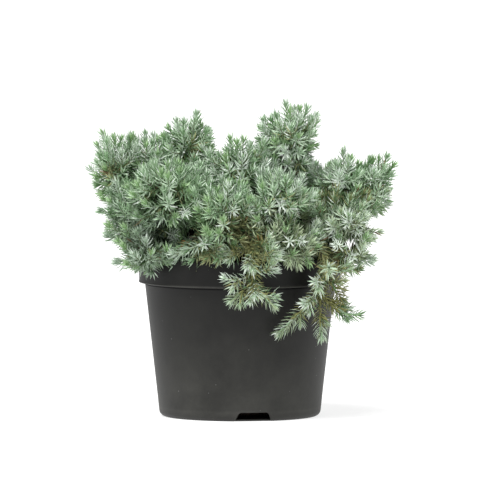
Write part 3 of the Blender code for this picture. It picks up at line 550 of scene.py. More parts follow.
# Hanging shoots: the share of each that is old, and the tones towards its tip.
HANGING_TONES = {
    "usual": ((0.52, 0.70), (FROST, FROST, SILVER, SILVER, CREAM, CREAM, DUSTY)),
    "green": ((0.48, 0.62), (TEAL, FRESH, GREEN, GREY)),
    "old": ((0.82, 0.98), (STRAW, DUSTY, DUSTY)),
}
HANGING_EDGE = 0.1
HANGING_STRAW = 0.6
HANGING_OLIVE = 0.85
STEM_TONES = (STRAW, STRAW, OLIVE, OLIVE, DULL)


def plain(name, colour, roughness, specular=0.5):
    mat = bpy.data.materials.new(name)
    mat.use_nodes = True
    shader = mat.node_tree.nodes["Principled BSDF"]
    shader.inputs["Base Color"].default_value = (*colour, 1.0)
    shader.inputs["Roughness"].default_value = roughness
    shader.inputs["Specular IOR Level"].default_value = specular
    return mat


def feed(mat, node, inputs):
    """Sets inputs of a shader node, or links them where the value is another node's output."""
    for socket, value in inputs.items():
        if isinstance(value, bpy.types.NodeSocket):
            mat.node_tree.links.new(value, node.inputs[socket])
        else:
            node.inputs[socket].default_value = value


def add_node(mat, kind, output, inputs, operation=None):
    """The output of a new shader node."""
    node = mat.node_tree.nodes.new("ShaderNode" + kind)
    if operation:
        node.operation = operation
    feed(mat, node, inputs)
    return node.outputs[output]


def add_ramp(mat, factor, stops):
    """The output of a colour ramp with stops of a place and a colour each."""
    output = add_node(mat, "ValToRGB", "Color", {"Fac": factor})
    ramp = output.node.color_ramp
    for k, (place, colour) in enumerate(stops):
        stop = ramp.elements[k] if k < 2 else ramp.elements.new(place)
        stop.position = place
        stop.color = (*colour, 1.0)
    return output


def add_object(name, data):
    item = bpy.data.objects.new(name, data)
    bpy.context.scene.collection.objects.link(item)
    return item


def add_bmesh(name, work):
    """A mesh object from a bmesh, which is freed."""
    bmesh.ops.recalc_face_normals(work, faces=work.faces)
    mesh = bpy.data.meshes.new(name)
    work.to_mesh(mesh)
    work.free()
    return add_object(name, mesh)


def add_mesh(name, verts, faces, mats, mat_index, smooth=False):
    """A mesh object from arrays of points in millimetres and triangles."""
    verts = np.asarray(verts, np.float32) * MM
    faces = np.asarray(faces, np.int32)
    mesh = bpy.data.meshes.new(name)
    mesh.vertices.add(len(verts))
    mesh.vertices.foreach_set("co", verts.ravel())
    mesh.loops.add(faces.size)
    mesh.loops.foreach_set("vertex_index", faces.ravel())
    mesh.polygons.add(len(faces))
    mesh.polygons.foreach_set("loop_start", np.arange(0, faces.size, 3, dtype=np.int32))
    for mat in mats:
        mesh.materials.append(mat)
    mesh.polygons.foreach_set("material_index", np.asarray(mat_index, np.int32))
    mesh.polygons.foreach_set("use_smooth", np.full(len(faces), smooth))
    mesh.update()
    mesh.validate()
    return add_object(name, mesh)


def shade_smooth(item):
    item.data.polygons.foreach_set("use_smooth", np.full(len(item.data.polygons), True))


def finish_piece(item, slot, *nodes):
    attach(item, "root")
    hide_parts(*nodes)


# The growth rule, as in the solids.

def shaken(rng, size):
    return Vector([rng.uniform(-1, 1) for axis in range(3)]) * size


def stretched(way, reach):
    return Vector([w * r for w, r in zip(way, reach)])


def directions(count, rng):
    """Even directions over a sphere, a little shaken."""
    result = []
    for i in range(count):
        z = 1 - 2 * (i + 0.5) / count
        flat = math.sqrt(1 - z * z)
        way = Vector((math.cos(GOLDEN_ANGLE * i) * flat, math.sin(GOLDEN_ANGLE * i) * flat, z))
        result.append((way + shaken(rng, WAY_SHAKE)).normalized())
    rng.shuffle(result)
    return result


def trunk_axis(share):
    return TRUNK_FOOT.lerp(TRUNK_TOP, share)


def trunk_r(share):
    return TRUNK_FOOT_R + (TRUNK_TOP_R - TRUNK_FOOT_R) * share


def stem_ways(goals):
    """The way each mass's stem sets off from its bough's tip, well apart from its neighbours' stems."""
    ways = {name: (goal - Vector(BOUGHS[bough][1])).normalized() for name, (bough, goal) in goals.items()}
    for push_round in range(STEM_PUSHES):
        for name in ways:
            for other in ways:
                same_tip = goals[name][0] == goals[other][0] and name < other
                if same_tip and ways[name].dot(ways[other]) > STEM_PART_COS:
                    push = (ways[name] - ways[other]).normalized() * STEM_PUSH
                    ways[name] = (ways[name] + push).normalized()
                    ways[other] = (ways[other] - push).normalized()
    return ways


def mass_spaces():
    """The space of every mass, as its centre and radius, and the points of its stem from its bough's tip."""
    spaces = {}
    paths = {}
    for name, (bough, centre, reach, lift, seed) in MASSES.items():
        spaces[name] = (Vector(centre), sum(reach) / 3)
        paths[name] = (bough, [Vector(centre)])
    for name, (bough, path, radius, shoots) in HANGING.items():
        spaces[name] = (Vector(path[-2]), radius)
        paths[name] = (bough, [Vector(spot) for spot in path])
    ways = stem_ways({name: (bough, path[0]) for name, (bough, path) in paths.items()})
    stems = {}
    for name, (bough, path) in paths.items():
        start = Vector(BOUGHS[bough][1])
        stems[name] = [start, start + ways[name] * STEM_BEND] + path
    return spaces, stems


def cell_planes(spaces, name):
    """Normals and distances of the planes that part a mass's space from its neighbours' spaces."""
    here, radius = spaces[name]
    normals = []
    distances = []
    for other, (there, other_radius) in spaces.items():
        distance = (there - here).length
        if other == name or distance > (radius + other_radius) * NEIGHBOUR_REACH:
            continue
        normal = (there - here) / distance
        split = (distance ** 2 + radius ** 2 - other_radius ** 2) / (2 * distance)
        normals.append(normal)
        distances.append(normal.dot(here) + split)
    return np.array(normals), np.array(distances)


def wall_r(z):
    return FOOT_R + WALL_SLOPE * z


def in_pot(points, clear):
    """Which points lie in the pot's wall or the soil, or nearer to them than a clearance."""
    away = np.hypot(points[:, 0], points[:, 1])
    z = points[:, 2]
    high = z > BAND_Z - clear
    band = (away < BAND_R + clear) & (away > BAND_R - WALL_T - clear) & (z < POT_H + clear) & high
    earth = (away < BAND_R) & (z < SOIL_TOP + clear) & high
    body = (away < wall_r(z) + clear) & (z < BAND_Z + clear)
    return band | earth | body


def mass_twigs(centre, reach, rng):
    """The main twigs of a mass: from its stem's end out to part of the way to its surface."""
    apart = TWIG_SPACING * reach.length / math.sqrt(3)
    outward = (centre - CROWN_HEART).normalized()
    ends = []
    for way in directions(TWIG_CANDIDATES, rng):
        if way.dot(outward) < TWIG_INWARD_LIMIT or len(ends) == TWIG_COUNT:
            continue
        end = centre + stretched(way, reach) * TWIG_SHARE
        if all((end - other).length > apart for other in ends):
            ends.append(end)
    return [(centre, end) for end in ends]


def best_root(tip, twigs):
    """Where on which twig a shoot with this tip leaves most naturally."""
    best = None
    for start, end in twigs:
        along = end - start
        length = along.length
        axis = along / length
        run = (tip - start).dot(axis)
        off = (tip - start - axis * run).length
        place = min(max(run - off * SHOOT_LEAN, length * TWIG_ROOM[0]), length * TWIG_ROOM[1])
        root = start + axis * place
        if best is None or (tip - root).length < (tip - best).length:
            best = root
    return best


def bezier(root, middle, tip, t):
    """A point of a curve, or a row of them where t is a column of places."""
    return root * (1 - t) ** 2 + middle * 2 * t * (1 - t) + tip * t ** 2


def normalised(rows):
    return rows / np.linalg.norm(rows, axis=-1, keepdims=True)


MASS_CENTRES = np.array([centre for bough, centre, reach, lift, seed in MASSES.values()], float)
MASS_REACHES = np.array([reach for bough, centre, reach, lift, seed in MASSES.values()], float)


def crown_depth(points):
    """How deep points lie in the crown, where 1 is its surface, and the ways out of it."""
    offset = (np.atleast_2d(points)[:, None] - MASS_CENTRES) / MASS_REACHES
    weight = np.exp(-BLEND * ((offset ** 2).sum(axis=2) - 1.0))
    out = (weight[:, :, None] * offset / MASS_REACHES).sum(axis=1)
    return weight.sum(axis=1), normalised(out)


def in_opening(line):
    """Whether a shoot's line runs into a hollow of the crown's front or the clear sky beside it."""
    for x, y, z, radius in HOLLOWS:
        near = np.hypot(line[:, 0] - x, line[:, 2] - z) < radius + HOLLOW_CLEAR
        if (near & (line[:, 1] > y - HOLLOW_OUT) & (line[:, 1] < y + HOLLOW_IN)).any():
            return True
    return any((np.hypot(line[:, 0] - x, line[:, 2] - z) < radius + SKY_CLEAR).any() for x, z, radius in SKY)


def mass_shoots(name, planes):
    """A rounded mass's twigs, and its shoots from them as (root, middle, tip, leafy length, kind)."""
    bough, centre, reach, lift, seed = MASSES[name]
    rng = random.Random(SEED + seed)
    centre = Vector(centre)
    reach = Vector(reach)
    twigs = mass_twigs(centre, reach, rng)
    normals, distances = planes
    shoots = []
    tips = np.empty((0, 3))
    rise = AIM_UP + AIM_UP_PER_LIFT * lift

    def add_shoot(tip, aim, leafy, kind, placed):
        """Adds a shoot, unless it isn't one with a place of its own and something is in its way."""
        nonlocal tips
        root = best_root(tip - aim * leafy * SHOOT_HOLD, twigs)
        length = (tip - root).length
        middle = tip - aim * min(leafy, length) * SHOOT_HOLD
        root, middle, tip = np.array(root), np.array(middle), np.array(tip)
        line = bezier(root, middle, tip, SHOOT_CHECKS)
        blocked = (line @ normals.T > distances - CELL_CLEAR).any() or in_pot(line, POT_CLEAR).any()
        if not placed and (blocked or in_opening(line)):
            return False
        tips = np.vstack([tips, tip])
        shoots.append((root, middle, tip, min(leafy, length * SHOOT_LEAFY_LIMIT), kind))
        return True

    for leader in LEADERS.get(name, ()):
        add_shoot(Vector(leader[:3]), Vector(leader[3:]).normalized(), LEADER_LEAFY, "crown", True)
    for tip in STARS.get(name, ()):
        aim = (Vector(tip) - centre).normalized() * STAR_OUT + STAR_FRONT + shaken(rng, STAR_SHAKE)
        add_shoot(Vector(tip), aim.normalized(), STAR_LEAFY, "star", True)
    stretches = np.linspace(1.0, BLEND_REACH, BLEND_STEPS)
    for way in directions(SHOOT_CANDIDATES, rng):
        spread = 1.0 + rng.uniform(*SHOOT_SPREAD)
        leafy = rng.uniform(*SHOOT_LEAFY)
        edge = np.array(stretched(way, reach))
        depths, outs = crown_depth(np.array(centre) + edge * stretches[:, None])
        far = max(1, int(np.argmax(depths < 1.0)) if (depths < 1.0).any() else BLEND_STEPS) - 1
        surface = centre + stretched(way, reach) * (spread * stretches[far])
        outward = (surface - AIM_HEART).normalized()
        aim = Vector(outs[far]) * AIM_OWN + outward * AIM_OUT + UP * rise + shaken(rng, AIM_SHAKE)
        aim.y *= AIM_DEPTH
        if way.dot((surface - CROWN_HEART).normalized()) < INWARD_LIMIT:
            continue
        aim.normalize()
        if aim.z < FALL_LIMIT:
            continue
        for shorten in SHOOT_TRIES:
            tip = centre.lerp(surface, shorten)
            if len(tips) and np.min(np.linalg.norm(tips - np.array(tip), axis=1)) < SHOOT_SPACING:
                continue
            if add_shoot(tip, aim, leafy, "crown", False):
                break
    return twigs, shoots


def hanging_shoots(name, stem, rng):
    """Shoots of a hanging mass: the named ones, each with a short side shoot where there is room for it."""
    bough, stem_path, radius, named = HANGING[name]
    path = stem[-len(stem_path):]
    shoots = []
    for share, tip, kind in named:
        place = share * (len(path) - 1)
        step = min(int(place), len(path) - 2)
        root = path[step].lerp(path[step + 1], place - step)
        tip = Vector(tip)
        length = (tip - root).length
        across = (tip - root).xy.length / length
        bend = HANGING_RISE if tip.z > root.z else -HANGING_SAG - HANGING_SAG_ACROSS * (across > ACROSS_FROM)
        middle = (root + tip) / 2 + UP * length * bend
        ends = np.array(root), np.array(middle), np.array(tip)
        shoots.append((*ends, length * HANGING_LEAFY, kind))
        if length * (1 - SIDE_AT) < SIDE_LONG * SIDE_ROOM:
            continue
        way = (tip - root).normalized()
        outward = Vector((root.x, root.y, 0.0)).normalized()
        aside = way.cross(outward).normalized()
        turn = outward * float(rng.uniform(*SIDE_OUT)) - aside
        start = bezier(*ends, SIDE_AT)
        end = start + np.array((way + turn.normalized() * SIDE_TURN).normalized()) * SIDE_LONG
        side_kind = "old" if kind == "old" else "usual"
        shoots.append((start, (start + end) / 2, end, SIDE_LONG * SIDE_LEAFY, side_kind))
    return shoots


def needles_of(shoot, rng):
    """Points of a shoot's needles, seven to a needle, and how far along the shoot each stands."""
    root, middle, tip, leafy, kind = shoot
    buds, stretch, turn_out, broad = KINDS[kind]
    length = np.linalg.norm(tip - root)
    whorls = max(LEAST_WHORLS, int(round(leafy / WHORL_PITCH)))
    place = 1.0 - np.linspace(1.0, 0.0, whorls) ** WHORL_CROWD
    t = 1.0 - (leafy / length) * (1.0 - place) * LEAFY_SHARE
    t = np.clip(t - BUD_SHORT / length, LEAST_PLACE, 1.0)[:, None]
    spots = bezier(root, middle, tip, t)
    tangents = normalised((middle - root) * 2 * (1 - t) + (tip - middle) * 2 * t)
    side = normalised(np.cross(tangents, rng.normal(size=3)))
    other = np.cross(tangents, side)
    count = whorls * WHORL_NEEDLES
    whorl = np.repeat(np.arange(whorls), WHORL_NEEDLES)
    turn = np.tile(np.arange(WHORL_NEEDLES) * math.tau / WHORL_NEEDLES, whorls)
    turn = whorl * (math.pi / WHORL_NEEDLES) + turn + rng.normal(0, TURN_SCATTER, count)
    along = place[whorl]
    angle = np.interp(along, NEEDLE_AT, NEEDLE_ANGLES) + turn_out + rng.normal(0, ANGLE_SCATTER, count)
    long = np.interp(along, NEEDLE_AT, NEEDLE_LENGTHS) * rng.uniform(*LENGTH_SCATTER, count) * stretch
    if buds:
        whorl = np.concatenate([whorl, np.full(buds, whorls - 1)])
        turn = np.concatenate([turn, np.arange(buds) * math.tau / buds])
        angle = np.concatenate([angle, rng.uniform(*BUD_ANGLES, buds)])
        long = np.concatenate([long, rng.uniform(*BUD_LENGTHS, buds)])
        along = np.concatenate([along, np.ones(buds)])
    turn = turn[:, None]
    angle = np.radians(angle)[:, None]
    long = long[:, None]
    axis = tangents[whorl]
    radial = np.cos(turn) * side[whorl] + np.sin(turn) * other[whorl]
    way = np.cos(angle) * axis + np.sin(angle) * radial
    face = np.sin(angle) * axis - np.cos(angle) * radial
    across = np.cross(way, face)
    width = NEEDLE_WIDTH * broad * np.clip(long / NEEDLE_WIDE_LENGTH, *NEEDLE_WIDE_RANGE) / 2
    foot = spots[whorl] + radial * NEEDLE_OFF
    narrow = across * width * NEEDLE_FOOT_WIDTH
    wide = foot + way * long * NEEDLE_MIDDLE - face * long * NEEDLE_BEND
    points = np.stack([foot + narrow, foot - narrow, foot - face * NEEDLE_KEEL * NEEDLE_FOOT_WIDTH,
                       wide + across * width, wide - across * width, wide - face * NEEDLE_KEEL,
                       foot + way * long], axis=1)
    return points, along


def age_and_shade_needles(tone, feet, rng):
    """Turns needles olive and rust brown with age in the crown's old spots, green with age and as painted
    shade, and dark as painted shade.
    """
    for x, y, z, radius, olive, rust in OLD_AND_SHADED_SPOTS:
        near = np.hypot(feet[:, 0] - x, feet[:, 2] - z) < radius * rng.uniform(*SPOT_REACH, len(feet))
        near &= np.abs(feet[:, 1] - y) < SPOT_DEPTH
        mixed = rng.random(len(feet))
        # Green with age and as painted shade, and dark as painted shade.
        tone[near & (mixed < OLD_AND_SHADE_GREEN[0] + OLD_AND_SHADE_GREEN[1] * olive)] = GREEN
        tone[near & (mixed < SPOT_PAINTED_SHADE)] = DEEP
        tone[near & (rng.random(len(feet)) < olive)] = OLIVE
        tone[near & (mixed > OLD_BROWN_FROM)] = BROWN
        tone[near & (rng.random(len(feet)) < rust)] = RUST


def crown_tones(tip, along, rng):
    """The tone of each needle of a shoot, dealt out by where the shoot is and how far along it stands, with
    painted light and shade by where it is and on its old foot.
    """
    # Painted light and shade: lighter higher up and darker deep within the crown.
    light = MIDDLE_LIGHT + LIT_TONE * ((tip[2] - LIT_FROM) / LIT_OVER)
    light += PATCH_TONE * noise.noise(Vector(tip) / PATCH_SIZE)
    light += rng.normal(0, SHOOT_SCATTER)
    if crown_depth(tip)[0][0] > BURIED:
        light -= BURIED_TONE
    if tip[0] > PALE_SIDE_X and tip[2] < PALE_SIDE_Z:
        light += PALE_SIDE
    # Painted light and shade on parts of the crown.
    for lighter, across, height in PAINTED_LIGHT_AND_SHADE:
        light += (lighter * np.interp(tip[0], across, RISE_AND_FALL)
                  * np.interp(tip[2], height, RISE_AND_FALL))
    tone = np.clip(MIDDLE_TONE - light + rng.normal(0, TONE_SCATTER, len(along)), FROST, DEEP)
    # The old foot of a shoot is darker, with age and as painted shade.
    old = along < rng.uniform(*OLD_SHARE)
    tone = np.where(old, np.clip(tone + OLD_AND_SHADE_TONE, OLD_AND_SHADE_LIGHTEST, DEEP), tone)
    tone = np.round(tone).astype(int)
    tone[old & (rng.random(len(along)) < OLD_OLIVE)] = OLIVE
    if rng.random() < FRESH_SHOOTS:
        tone[(along > rng.uniform(*FRESH_FROM)) & (tone > FROST)] = FRESH
    tone[rng.random(len(along)) < BROWN_NEEDLES] = BROWN
    low = np.clip((DUSTY_FROM - tip[2]) / DUSTY_OVER, 0.0, 1.0)
    mixed = rng.random(len(along))
    for sides, shares, pairs in TURNED_TONES:
        for usual, turned in pairs:
            tone[(mixed < low * np.interp(tip[0], sides, shares)) & (tone == usual)] = turned
    return tone


def star_tones(along, rng):
    """The tone of each needle of a pale shoot seen from its tip."""
    mixed = rng.random(len(along))
    tone = np.where(mixed < STAR_FROST, FROST, SILVER)
    foot = along < STAR_FOOT
    tone[foot] = np.where(mixed[foot] < STAR_OLIVE, OLIVE, GREEN)
    return tone


def hanging_tones(along, rng, kind):
    """The tone of each needle of a hanging shoot: olive where it is old, and by its kind towards its tip."""
    old_share, tip_tones = HANGING_TONES[kind]
    share = rng.uniform(*old_share)
    mixed = rng.random(len(along))
    tone = np.array(tip_tones)[(mixed * len(tip_tones)).astype(int)]
    old = along < share + rng.uniform(-HANGING_EDGE, HANGING_EDGE, len(along))
    green_or_olive = np.where(mixed[old] < HANGING_OLIVE, OLIVE, GREEN)
    tone[old] = np.where(mixed[old] < HANGING_STRAW, STRAW, green_or_olive)
    return tone


def tube_arrays(paths, radii, sides, rng):
    """Closed tapering tubes along paths that all have the same number of points."""
    paths = np.asarray(paths)
    radii = np.asarray(radii)
    count, steps = paths.shape[:2]
    ahead = np.concatenate([paths[:, 1:], paths[:, -1:]], axis=1)
    behind = np.concatenate([paths[:, :1], paths[:, :-1]], axis=1)
    tangents = normalised(ahead - behind)
    aside = np.repeat(rng.normal(size=(count, 1, 3)), steps, axis=1)
    u = normalised(np.cross(tangents, aside))
    v = np.cross(tangents, u)
    angles = (np.arange(sides) * math.tau / sides)[None, None, :, None]
    ring = u[:, :, None] * np.cos(angles) + v[:, :, None] * np.sin(angles)
    verts = (paths[:, :, None] + ring * radii[:, :, None, None]).reshape(-1, 3)
    faces = []
    for low in range(0, (steps - 1) * sides, sides):
        for i in range(sides):
            j = (i + 1) % sides
            faces += [(low + i, low + j, low + sides + j), (low + i, low + sides + j, low + sides + i)]
    last = (steps - 1) * sides
    for i in range(1, sides - 1):
        faces += [(0, i + 1, i), (last, last + i, last + i + 1)]
    faces = np.array(faces)[None] + (np.arange(count) * steps * sides)[:, None, None]
    return verts, faces.reshape(-1, 3)


def resampled(path, count):
    """A smooth path through a few points, with a given number of points."""
    points = np.array([tuple(p) for p in path])
    steps = np.concatenate([[0], np.cumsum(np.linalg.norm(np.diff(points, axis=0), axis=1))])
    where = np.linspace(0, steps[-1], count)
    line = np.stack([np.interp(where, steps, points[:, k]) for k in range(3)], axis=1)
    for smoothing in range(STEM_SMOOTHINGS):
        line[1:-1] = (line[:-2] + line[1:-1] * 2 + line[2:]) / 4
    return line


def grow_group(group, names, spaces, stems, needle_mats, twig_mats):
    """The needles and the twigs of a group of masses, each joined into one piece."""
    rng = np.random.default_rng(SEED + len(group) * GROUP_SEED + ord(group[0]))
    points = []
    tones = []
    old_paths = []
    old_radii = []
    young_paths = []
    for name in names:
        stem = stems[name]
        old_paths.append(resampled(stem, LIMB_POINTS))
        old_radii.append(np.linspace(*STEM_RADII, LIMB_POINTS))
        if name in MASSES:
            twigs, shoots = mass_shoots(name, cell_planes(spaces, name))
            for root, end in twigs:
                middle = (root + end) / 2 - UP * (end - root).length * TWIG_SAG
                old_paths.append(bezier(*map(np.array, (root, middle, end)), LIMB_PLACES))
                old_radii.append(np.linspace(*TWIG_RADII, LIMB_POINTS))
        else:
            shoots = hanging_shoots(name, stem, rng)
            for low, high in zip(stem[2:], stem[3:]):
                low, high = np.array(low), np.array(high)
                piece = (low, (low + high) / 2, high, np.linalg.norm(high - low), "stem")
                for growth in range(HANGING_ROUNDS):
                    found, along = needles_of(piece, rng)
                    points.append(found)
                    tones.append(rng.choice(STEM_TONES, len(found)))
        for shoot in shoots:
            root, middle, tip, leafy, kind = shoot
            young_paths.append(bezier(root, middle, tip, YOUNG_PLACES))
            found, along = needles_of(shoot, rng)
            if kind == "crown":
                tone = crown_tones(tip, along, rng)
                age_and_shade_needles(tone, found[:, 0], rng)
            elif kind in ("star", "pale"):
                tone = star_tones(along, rng)
            else:
                tone = hanging_tones(along, rng, kind)
            keep = ~(in_pot(found[:, -1], NEEDLE_POT_CLEAR) | in_pot(found[:, 0], NEEDLE_POT_CLEAR))
            points.append(found[keep])
            tones.append(tone[keep])
    points = np.concatenate(points)
    tones = np.concatenate(tones)
    faces = NEEDLE_FACES[None] + (np.arange(len(points)) * NEEDLE_POINTS)[:, None, None]
    needles = add_mesh("needles_" + group, points.reshape(-1, 3), faces.reshape(-1, 3), needle_mats,
                       (tones[:, None] * 2 + NEEDLE_SIDES[None]).ravel())
    finish_piece(needles, "needles", *names)
    old_verts, old_faces = tube_arrays(old_paths, old_radii, LIMB_SIDES, rng)
    young_verts, young_faces = tube_arrays(young_paths, [YOUNG_RADII] * len(young_paths), YOUNG_SIDES, rng)
    twigs = add_mesh("twigs_" + group, np.concatenate([old_verts, young_verts]),
                     np.concatenate([old_faces, young_faces + len(old_verts)]), twig_mats,
                     np.repeat([0, 1], [len(old_faces), len(young_faces)]), smooth=True)
    finish_piece(twigs, "bark", *names)


def grow_crown():
    """Needles and twigs of every mass, joined by group."""
    needle_mats = []
    for tone, colours in TONES.items():
        for side, colour, roughness in zip(("inner", "outer"), colours, NEEDLE_ROUGH):
            needle_mats.append(plain("needle_%s_%s" % (tone, side), colour, roughness, NEEDLE_SPECULAR))
    twig_mats = [plain("twig_bark", (0.060, 0.052, 0.030), 0.85), plain("twig_young", (0.15, 0.17, 0.08), 0.7)]
    spaces, stems = mass_spaces()
    for group, names in GROUPS.items():
        grow_group(group, names, spaces, stems, needle_mats, twig_mats)


# Pot, soil and bark

def lathe(name, profile, segments):
    """A closed body of revolution from a profile that starts and ends on the axis, in millimetres."""
    work = bmesh.new()
    points = [work.verts.new(Vector((r, 0.0, z)) * MM) for r, z in profile]
    edges = [work.edges.new(pair) for pair in zip(points, points[1:])]
    bmesh.ops.spin(work, geom=points + edges, axis=UP, cent=(0, 0, 0), steps=segments,
                   angle=math.tau, use_merge=True)
    bmesh.ops.remove_doubles(work, verts=work.verts, dist=MERGE_DISTANCE)
    return add_bmesh(name, work)


def arc(centre_r, centre_z, radius, start_deg, end_deg, steps):
    """Points of a round corner in the profile, from one angle to another."""
    points = []
    for i in range(steps + 1):
        angle = math.radians(start_deg + (end_deg - start_deg) * i / steps)
        points.append((centre_r + radius * math.cos(angle), centre_z + radius * math.sin(angle)))
    return points


def plastic_material():
    """Black plastic that is dustier towards the foot, with painted shade high on the wall and on the band, a
    painted shadow in the groove under the band, a painted highlight on the band's lower edge, and pale specks.
    """
    mat = plain("pot_plastic_black", (0.02, 0.02, 0.02), 0.5, POT_SPECULAR)
    where = add_node(mat, "TexCoord", "Object", {})
    height = add_node(mat, "SeparateXYZ", "Z", {"Vector": where})
    share = add_node(mat, "Math", "Value", {0: height, 1: DUST_AND_PAINTED_LIGHT_TOP * MM}, "DIVIDE")
    # Up the pot: dustier towards the foot, painted shade high on the wall and on the band, a painted shadow in
    # the groove under the band and a painted highlight on the band's lower edge.
    dust_and_painted_light = add_ramp(mat, share, [(z / DUST_AND_PAINTED_LIGHT_TOP, [grey * part for part in DUST_AND_PAINTED_LIGHT_TINT]) for z, grey in DUST_AND_PAINTED_LIGHT])
    cloud = add_node(mat, "TexNoise", "Fac", {"Vector": where, "Scale": 24.0, "Detail": 6.0, "Roughness": 0.65})
    patch = add_node(mat, "MapRange", "Result",
                     {"Value": cloud, "From Min": 0.35, "From Max": 0.70, "To Min": 0.70, "To Max": 1.45})
    # Cloudy patches scale the whole ramp, its dustiness and its painted light and shade alike.
    dusty = add_node(mat, "VectorMath", "Vector", {"Vector": dust_and_painted_light, "Scale": patch}, "SCALE")
    speck = add_node(mat, "TexVoronoi", "Distance", {"Vector": where, "Scale": 75.0})
    spot = add_node(mat, "MapRange", "Result",
                    {"Value": speck, "From Min": 0.045, "From Max": 0.030, "To Max": 0.09})
    tint = add_node(mat, "VectorMath", "Vector", {0: dusty, 1: spot}, "ADD")
    rough = add_node(mat, "MapRange", "Result", {"Value": cloud, "To Min": 0.44, "To Max": 0.60})
    grain = add_node(mat, "TexNoise", "Fac", {"Vector": where, "Scale": 1400.0, "Detail": 3.0})
    bump = add_node(mat, "Bump", "Normal", {"Height": grain, "Strength": 0.25, "Distance": 0.0002})
    feed(mat, mat.node_tree.nodes["Principled BSDF"], {"Base Color": tint, "Roughness": rough, "Normal": bump})
    return mat


def notch_cutter(angle):
    """The shape of one drain notch, at an angle round the pot's foot."""
    out = Vector((math.cos(angle), math.sin(angle), 0.0))
    across = Vector((-out.y, out.x, 0.0))
    grow = (NOTCH_BOTTOM_W - NOTCH_TOP_W) / NOTCH_H * NOTCH_BELOW
    work = bmesh.new()
    corners = []
    for r in (NOTCH_INNER_R, NOTCH_OUTER_R):
        for z, width in ((-NOTCH_BELOW, NOTCH_BOTTOM_W + grow), (NOTCH_H, NOTCH_TOP_W)):
            for sign in (-1, 1):
                corners.append(work.verts.new((out * r + across * (sign * width / 2) + UP * z) * MM))
    for face in ((0, 1, 3, 2), (4, 6, 7, 5), (0, 4, 5, 1), (2, 3, 7, 6), (0, 2, 6, 4), (1, 5, 7, 3)):
        work.faces.new([corners[k] for k in face])
    top_edges = [e for e in work.edges if {corners.index(v) for v in e.verts} in ({2, 6}, {3, 7})]
    bmesh.ops.bevel(work, geom=top_edges, offset=NOTCH_CORNER_R * MM, segments=NOTCH_CORNER_STEPS,
                    profile=0.5, affect="EDGES")
    return add_bmesh("notch_cutter", work)


def make_pot():
    """The moulded pot, with its band, groove, rim and drain notches."""
    wall_angle = math.degrees(math.atan(WALL_SLOPE))
    foot_r = wall_r(CORNER_R) - CORNER_R
    outside = [(0.0, 0.0), (foot_r * FLAT_SHARE, 0.0)]
    outside += arc(foot_r, CORNER_R, CORNER_R, -90, -wall_angle, CORNER_STEPS)
    outside += [(wall_r(z), z) for z in np.linspace(WALL_Z[0], BAND_Z - GROOVE_H - GROOVE_EDGE, WALL_RINGS)]
    outside += [(wall_r(BAND_Z) - GROOVE_DEEP, BAND_Z - GROOVE_H), (wall_r(BAND_Z) - GROOVE_DEEP, BAND_Z)]
    outside += arc(BAND_R + BAND_LIP - BAND_EDGE, BAND_Z + BAND_EDGE, BAND_EDGE, -90, BAND_EDGE_TO_DEG,
                   BAND_EDGE_STEPS)
    outside += [(BAND_R, BAND_Z + BAND_EDGE * BAND_FOOT), (BAND_R, (BAND_Z + POT_H) / 2)]
    outside += arc(BAND_R - RIM_EDGE, POT_H - RIM_EDGE, RIM_EDGE, 0, 90, RIM_EDGE_STEPS)
    inner = BAND_R - WALL_T
    inside = arc(inner + RIM_INNER_EDGE, POT_H - RIM_INNER_EDGE, RIM_INNER_EDGE, 90, 180,
                 RIM_INNER_STEPS)
    inside += [(inner, BAND_Z + WALL_T), (wall_r(BAND_Z) - WALL_T, BAND_Z)]
    inside += [(wall_r(z) - WALL_T, z) for z in reversed(WALL_Z)]
    inside += arc(foot_r, CORNER_R, CORNER_R - WALL_T, -wall_angle, INNER_CORNER_DEG, INNER_CORNER_STEPS)
    inside += [(foot_r * FLAT_SHARE, BASE_T), (0.0, BASE_T)]
    pot = lathe("pot_moulded", outside + inside, POT_SEGMENTS)
    for i in range(NOTCH_COUNT):
        cutter = notch_cutter(math.radians(NOTCH_FIRST_DEG) + math.tau * i / NOTCH_COUNT)
        cut = pot.modifiers.new("cut", "BOOLEAN")
        cut.operation = "DIFFERENCE"
        cut.solver = "EXACT"
        cut.object = cutter
        result = bpy.data.meshes.new_from_object(pot.evaluated_get(bpy.context.evaluated_depsgraph_get()))
        pot.modifiers.remove(cut)
        pot.data = result
        bpy.data.objects.remove(cutter, do_unlink=True)
    pot.data.materials.clear()
    pot.data.materials.append(plastic_material())
    shade_smooth(pot)
    pot.data.set_sharp_from_angle(angle=math.radians(POT_SHARP_DEG))
    finish_piece(pot, "pot_plastic", "pot")


def rough_material(name, colour, roughness, specular, cells, grain, stops, bump):
    """A rough earthy material: its colour from a noise through a ramp, and its bumps from cells."""
    mat = plain(name, colour, roughness, specular)
    where = add_node(mat, "TexCoord", "Object", {})
    lumps = add_node(mat, "TexVoronoi", "Distance", {"Vector": where, "Scale": cells})
    soft = add_node(mat, "TexNoise", "Fac", {"Vector": where, **grain})
    tint = add_ramp(mat, soft, stops)
    normal = add_node(mat, "Bump", "Normal", {"Height": lumps, **bump})
    feed(mat, mat.node_tree.nodes["Principled BSDF"], {"Base Color": tint, "Normal": normal})
    return mat


